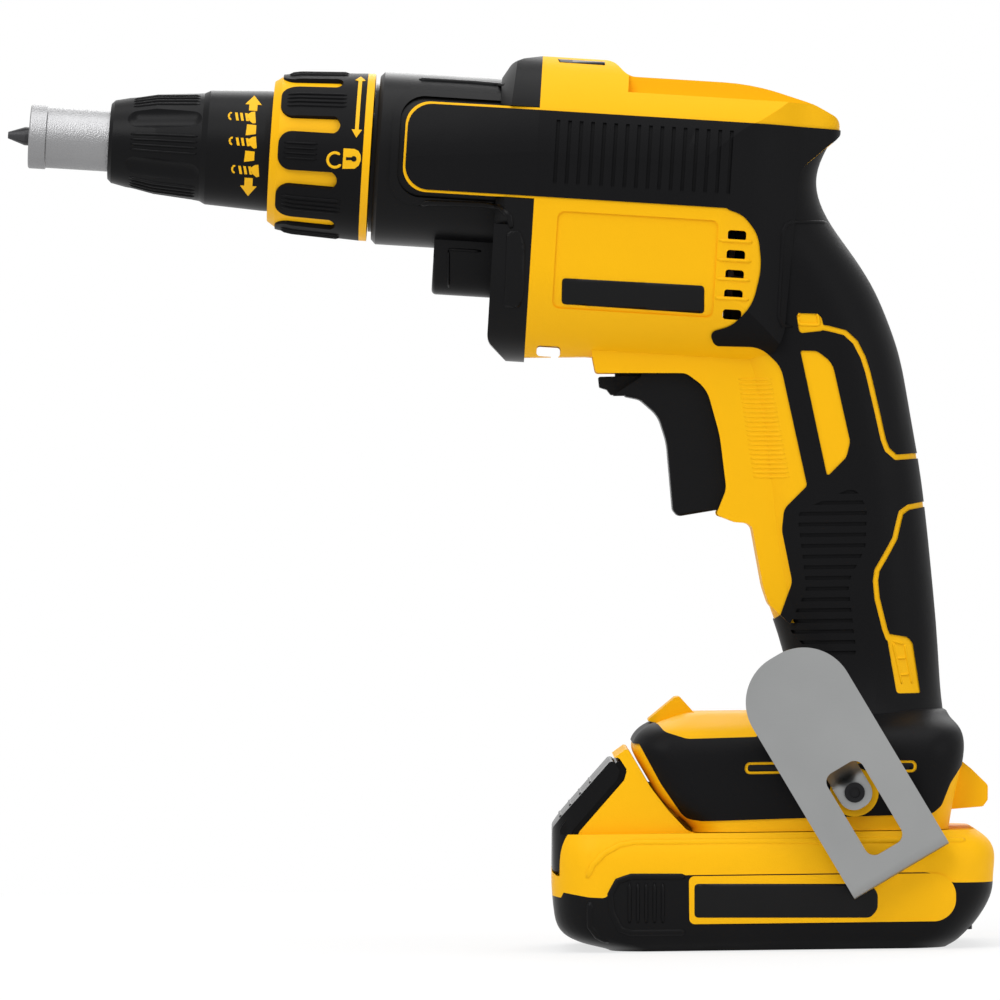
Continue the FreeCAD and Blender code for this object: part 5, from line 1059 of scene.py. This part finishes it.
@dataclass
class CaseTrim:
    """Ledges and side plates cast into the gear case.

    Attributes:
        ledge: Size of a ledge.
        rib: Size of a rib.
        plate_corner: Radius of the plate's corners.
        plate_rise: How far the plate stands out.
        plate_edge: Width of its eased edge.
    """

    ledge: Pair = (1.7, 0.55)
    rib: Pair = (0.9, 0.4)
    plate_corner: float = 1.2
    plate_rise: float = 0.3
    plate_edge: float = 0.4

    def build(self, nodes: Nodes) -> None:
        """Makes the trim of both flanks.

        Args:
            nodes: CAD objects by name.
        """
        plan = rounded(photo_plan(CASE_PLATE), self.plate_corner)
        for side in Side:
            case = Probe(nodes, ["gear_case"], side)
            relief = Relief(f"case_ledges_{side.tag}", CASE_COAT, "housing", "case_metal")
            relief.lines(case, CASE_LEDGES, self.ledge)
            relief.lines(case, CASE_RIBS, self.rib)
            relief.plate(plan, case.flank, self.plate_rise, self.plate_edge)
            relief.build()


# Lines of the pack in pixels of the photograph.
GRIP_RIB = ((628, 878), (628, 918))
GRIP_RIB_STEP = 8.2
UPPER_CONTOUR = ((585.7, 873.5), (591.6, 860.4), (603.2, 848.8), (617.7, 840.9), (632.3, 838),
                 (719.6, 837.1), (960, 835.5))
LOWER_CONTOURS = (((588.6, 897), (588.6, 921.5), (595.9, 931.7), (607.6, 938)),
                  ((683, 872), (629.4, 872), (616, 876.5), (609, 889.5), (610.5, 907),
                   (619.2, 924.4), (629.4, 927.8), (683, 927.3)))
SIDE_PLATE = ((692, 879), (866, 879), (873, 888), (873, 904), (866, 912.5), (692, 912.5))
# Thumb ridges of the button: heights, places across and the X at which rays start, in millimetres.
THUMB_ROWS = (36.0, 39.0, 42.0, 45.0)
THUMB_ACROSS = range(-22, 23, 2)
THUMB_FRONT = -200.0


@dataclass
class PackTrim:
    """Ribs and label plates of the battery pack and its button.

    Attributes:
        rib_count: Upright ribs of the grip area.
        rib: Size of those ribs.
        ridge: Size of a contour's ridge.
        thumb: Size of a thumb ridge.
        plate_corner: Radius of a side plate's corners.
        plate_rise: How far it stands out.
        plate_edge: Width of its eased edge.
    """

    rib_count: int = 5
    rib: Pair = (1.1, 0.45)
    ridge: Pair = (1.8, 0.4)
    thumb: Pair = (1.1, 0.4)
    plate_corner: float = 1.2
    plate_rise: float = 0.12
    plate_edge: float = 0.2

    def build(self, nodes: Nodes) -> None:
        """Makes the trim of both flanks and of the button.

        Args:
            nodes: CAD objects by name.
        """
        for side in Side:
            self._ridges(Probe(nodes, ["pack_upper_case"], side), Probe(nodes, ["pack_lower_case"], side))
            self._label(Probe(nodes, [f"side_frame_{side.tag}"], side))
        self._button_ridges(Probe(nodes, ["release_button"]))

    def _ridges(self, upper: Probe, lower: Probe) -> None:
        """Upright ribs of the grip area and soft moulded contours of the two case halves.

        Args:
            upper: The upper case's surface.
            lower: The lower case's surface.
        """
        ribs = [moved(GRIP_RIB, GRIP_RIB_STEP * k, 0.0) for k in range(self.rib_count)]
        ridge_pieces("pack", ("pack_ribs", BLACK_MOULD, "pack_black", lower, ribs, self.rib),
                     ("pack_contour", YELLOW, "pack_yellow", upper, [UPPER_CONTOUR], self.ridge),
                     ("pack_skirt", BLACK_MOULD, "pack_black", lower, LOWER_CONTOURS, self.ridge))

    def _label(self, label: Probe) -> None:
        """Bare dark plate in the side frame.

        Args:
            label: The side frame's surface.
        """
        relief = Relief(f"pack_plate_{label.side.tag}", BLACK_PRINT_AND_PAINTED_SHADE, "pack", "pack_black")
        plan = rounded(photo_plan(SIDE_PLATE), self.plate_corner)
        relief.plate(plan, label.flank, self.plate_rise, self.plate_edge)
        relief.build()

    def _button_ridges(self, button: Probe) -> None:
        """Thumb ridges across the button's front slope.

        Args:
            button: The button's surface.
        """
        relief = Relief("button_ridges", GLOSS_BLACK, "release", "button_plastic")
        rearward = Vector((1.0, 0.0, 0.0))
        for z in THUMB_ROWS:
            starts = [Vector((THUMB_FRONT * MM, y * MM, z * MM)) for y in THUMB_ACROSS]
            relief.strip([button.first(start, rearward) for start in starts], *self.thumb)
        relief.build()


@dataclass
class CoilSpring:
    """Return spring of wound wire.

    Attributes:
        node: CAD node that it stands for, which gives its place, radius and length.
        body: CAD body that it rides on.
        joint: Name of its joint; not used.
        wire: Wire diameter in millimetres.
        turns: Number of turns.
        travel: Travel of the joint in millimetres; not used.
        place: Frame whose x axis the spring is wound about.
        sides: Sides of the wire's section.
        steps: Sections in one turn.
    """

    node: str
    body: str
    joint: str
    wire: float
    turns: int
    travel: float
    place: Matrix = field(default_factory=lambda: Matrix.Identity(4))
    sides: int = 10
    steps: int = 24

    def build(self, nodes: Nodes) -> None:
        """Winds the spring in its CAD node's room.

        Args:
            nodes: CAD objects by name.
        """
        back = self.place.inverted()
        points = [back @ vertex.co / MM for vertex in nodes[self.node].data.vertices]
        low = Vector([min(point[axis] for point in points) for axis in range(3)])
        high = Vector([max(point[axis] for point in points) for axis in range(3)])
        verts = [self.place @ (point * MM) for point in self._winding(low, high)]
        coil = new_piece(f"{self.node}_coil", verts, self._faces(), SPRING_WIRE, self.body)
        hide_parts(self.node)
        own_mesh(coil)

    def _winding(self, low: Vector, high: Vector) -> list[Vector]:
        """Points of the wire's sections along the winding.

        Args:
            low: Lowest corner of the spring's room in its own frame, in millimetres.
            high: Highest corner of that room.

        Returns:
            The points, section by section.
        """
        middle = (low + high) / 2
        r = (high.y - low.y - self.wire) / 2
        rise = (high.x - low.x - self.wire) / self.turns
        points: list[Vector] = []
        for k in range(self.turns * self.steps + 1):
            turn = math.tau * k / self.steps
            out = Vector((0.0, math.cos(turn), math.sin(turn)))
            centre = Vector((low.x + self.wire / 2 + rise * k / self.steps, middle.y, middle.z)) + out * r
            ahead = Vector((rise / math.tau, -r * math.sin(turn), r * math.cos(turn))).normalized()
            across = ahead.cross(out)
            for side in range(self.sides):
                lean = math.tau * side / self.sides
                points.append(centre + (out * math.cos(lean) + across * math.sin(lean)) * self.wire / 2)
        return points

    def _faces(self) -> list[tuple[int, ...]]:
        """Quads between the wire's sections and a cap on each end.

        Returns:
            Point indices of each face.
        """
        sections, n = self.turns * self.steps, self.sides
        last = sections * n
        faces: list[tuple[int, ...]] = [tuple(range(n)), tuple(reversed(range(last, last + n)))]
        for k in range(sections):
            for side in range(n):
                after = (side + 1) % n
                faces.append((k * n + side, (k + 1) * n + side, (k + 1) * n + after, k * n + after))
        return faces


def main() -> None:
    """Builds the scene in order and reports each piece."""
    logging.basicConfig(level=logging.INFO, format="%(message)s")
    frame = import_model()
    Studio().build()
    paint_nodes(frame["nodes"])
    springs = (CoilSpring("clutch_spring", "drive", "bit_push", wire=1.2, turns=3, travel=3.0, place=BARREL),
               CoilSpring("trigger_spring", "housing", "trigger_pull", wire=0.7, turns=8, travel=7.0),
               CoilSpring("release_spring", "pack", "release_press", wire=0.6, turns=6, travel=1.5))
    for group in (NoseMarks(), HousingTrim(), CaseTrim(), PackTrim(), *springs):
        group.build(frame["nodes"])


if __name__ == "__main__":
    main()
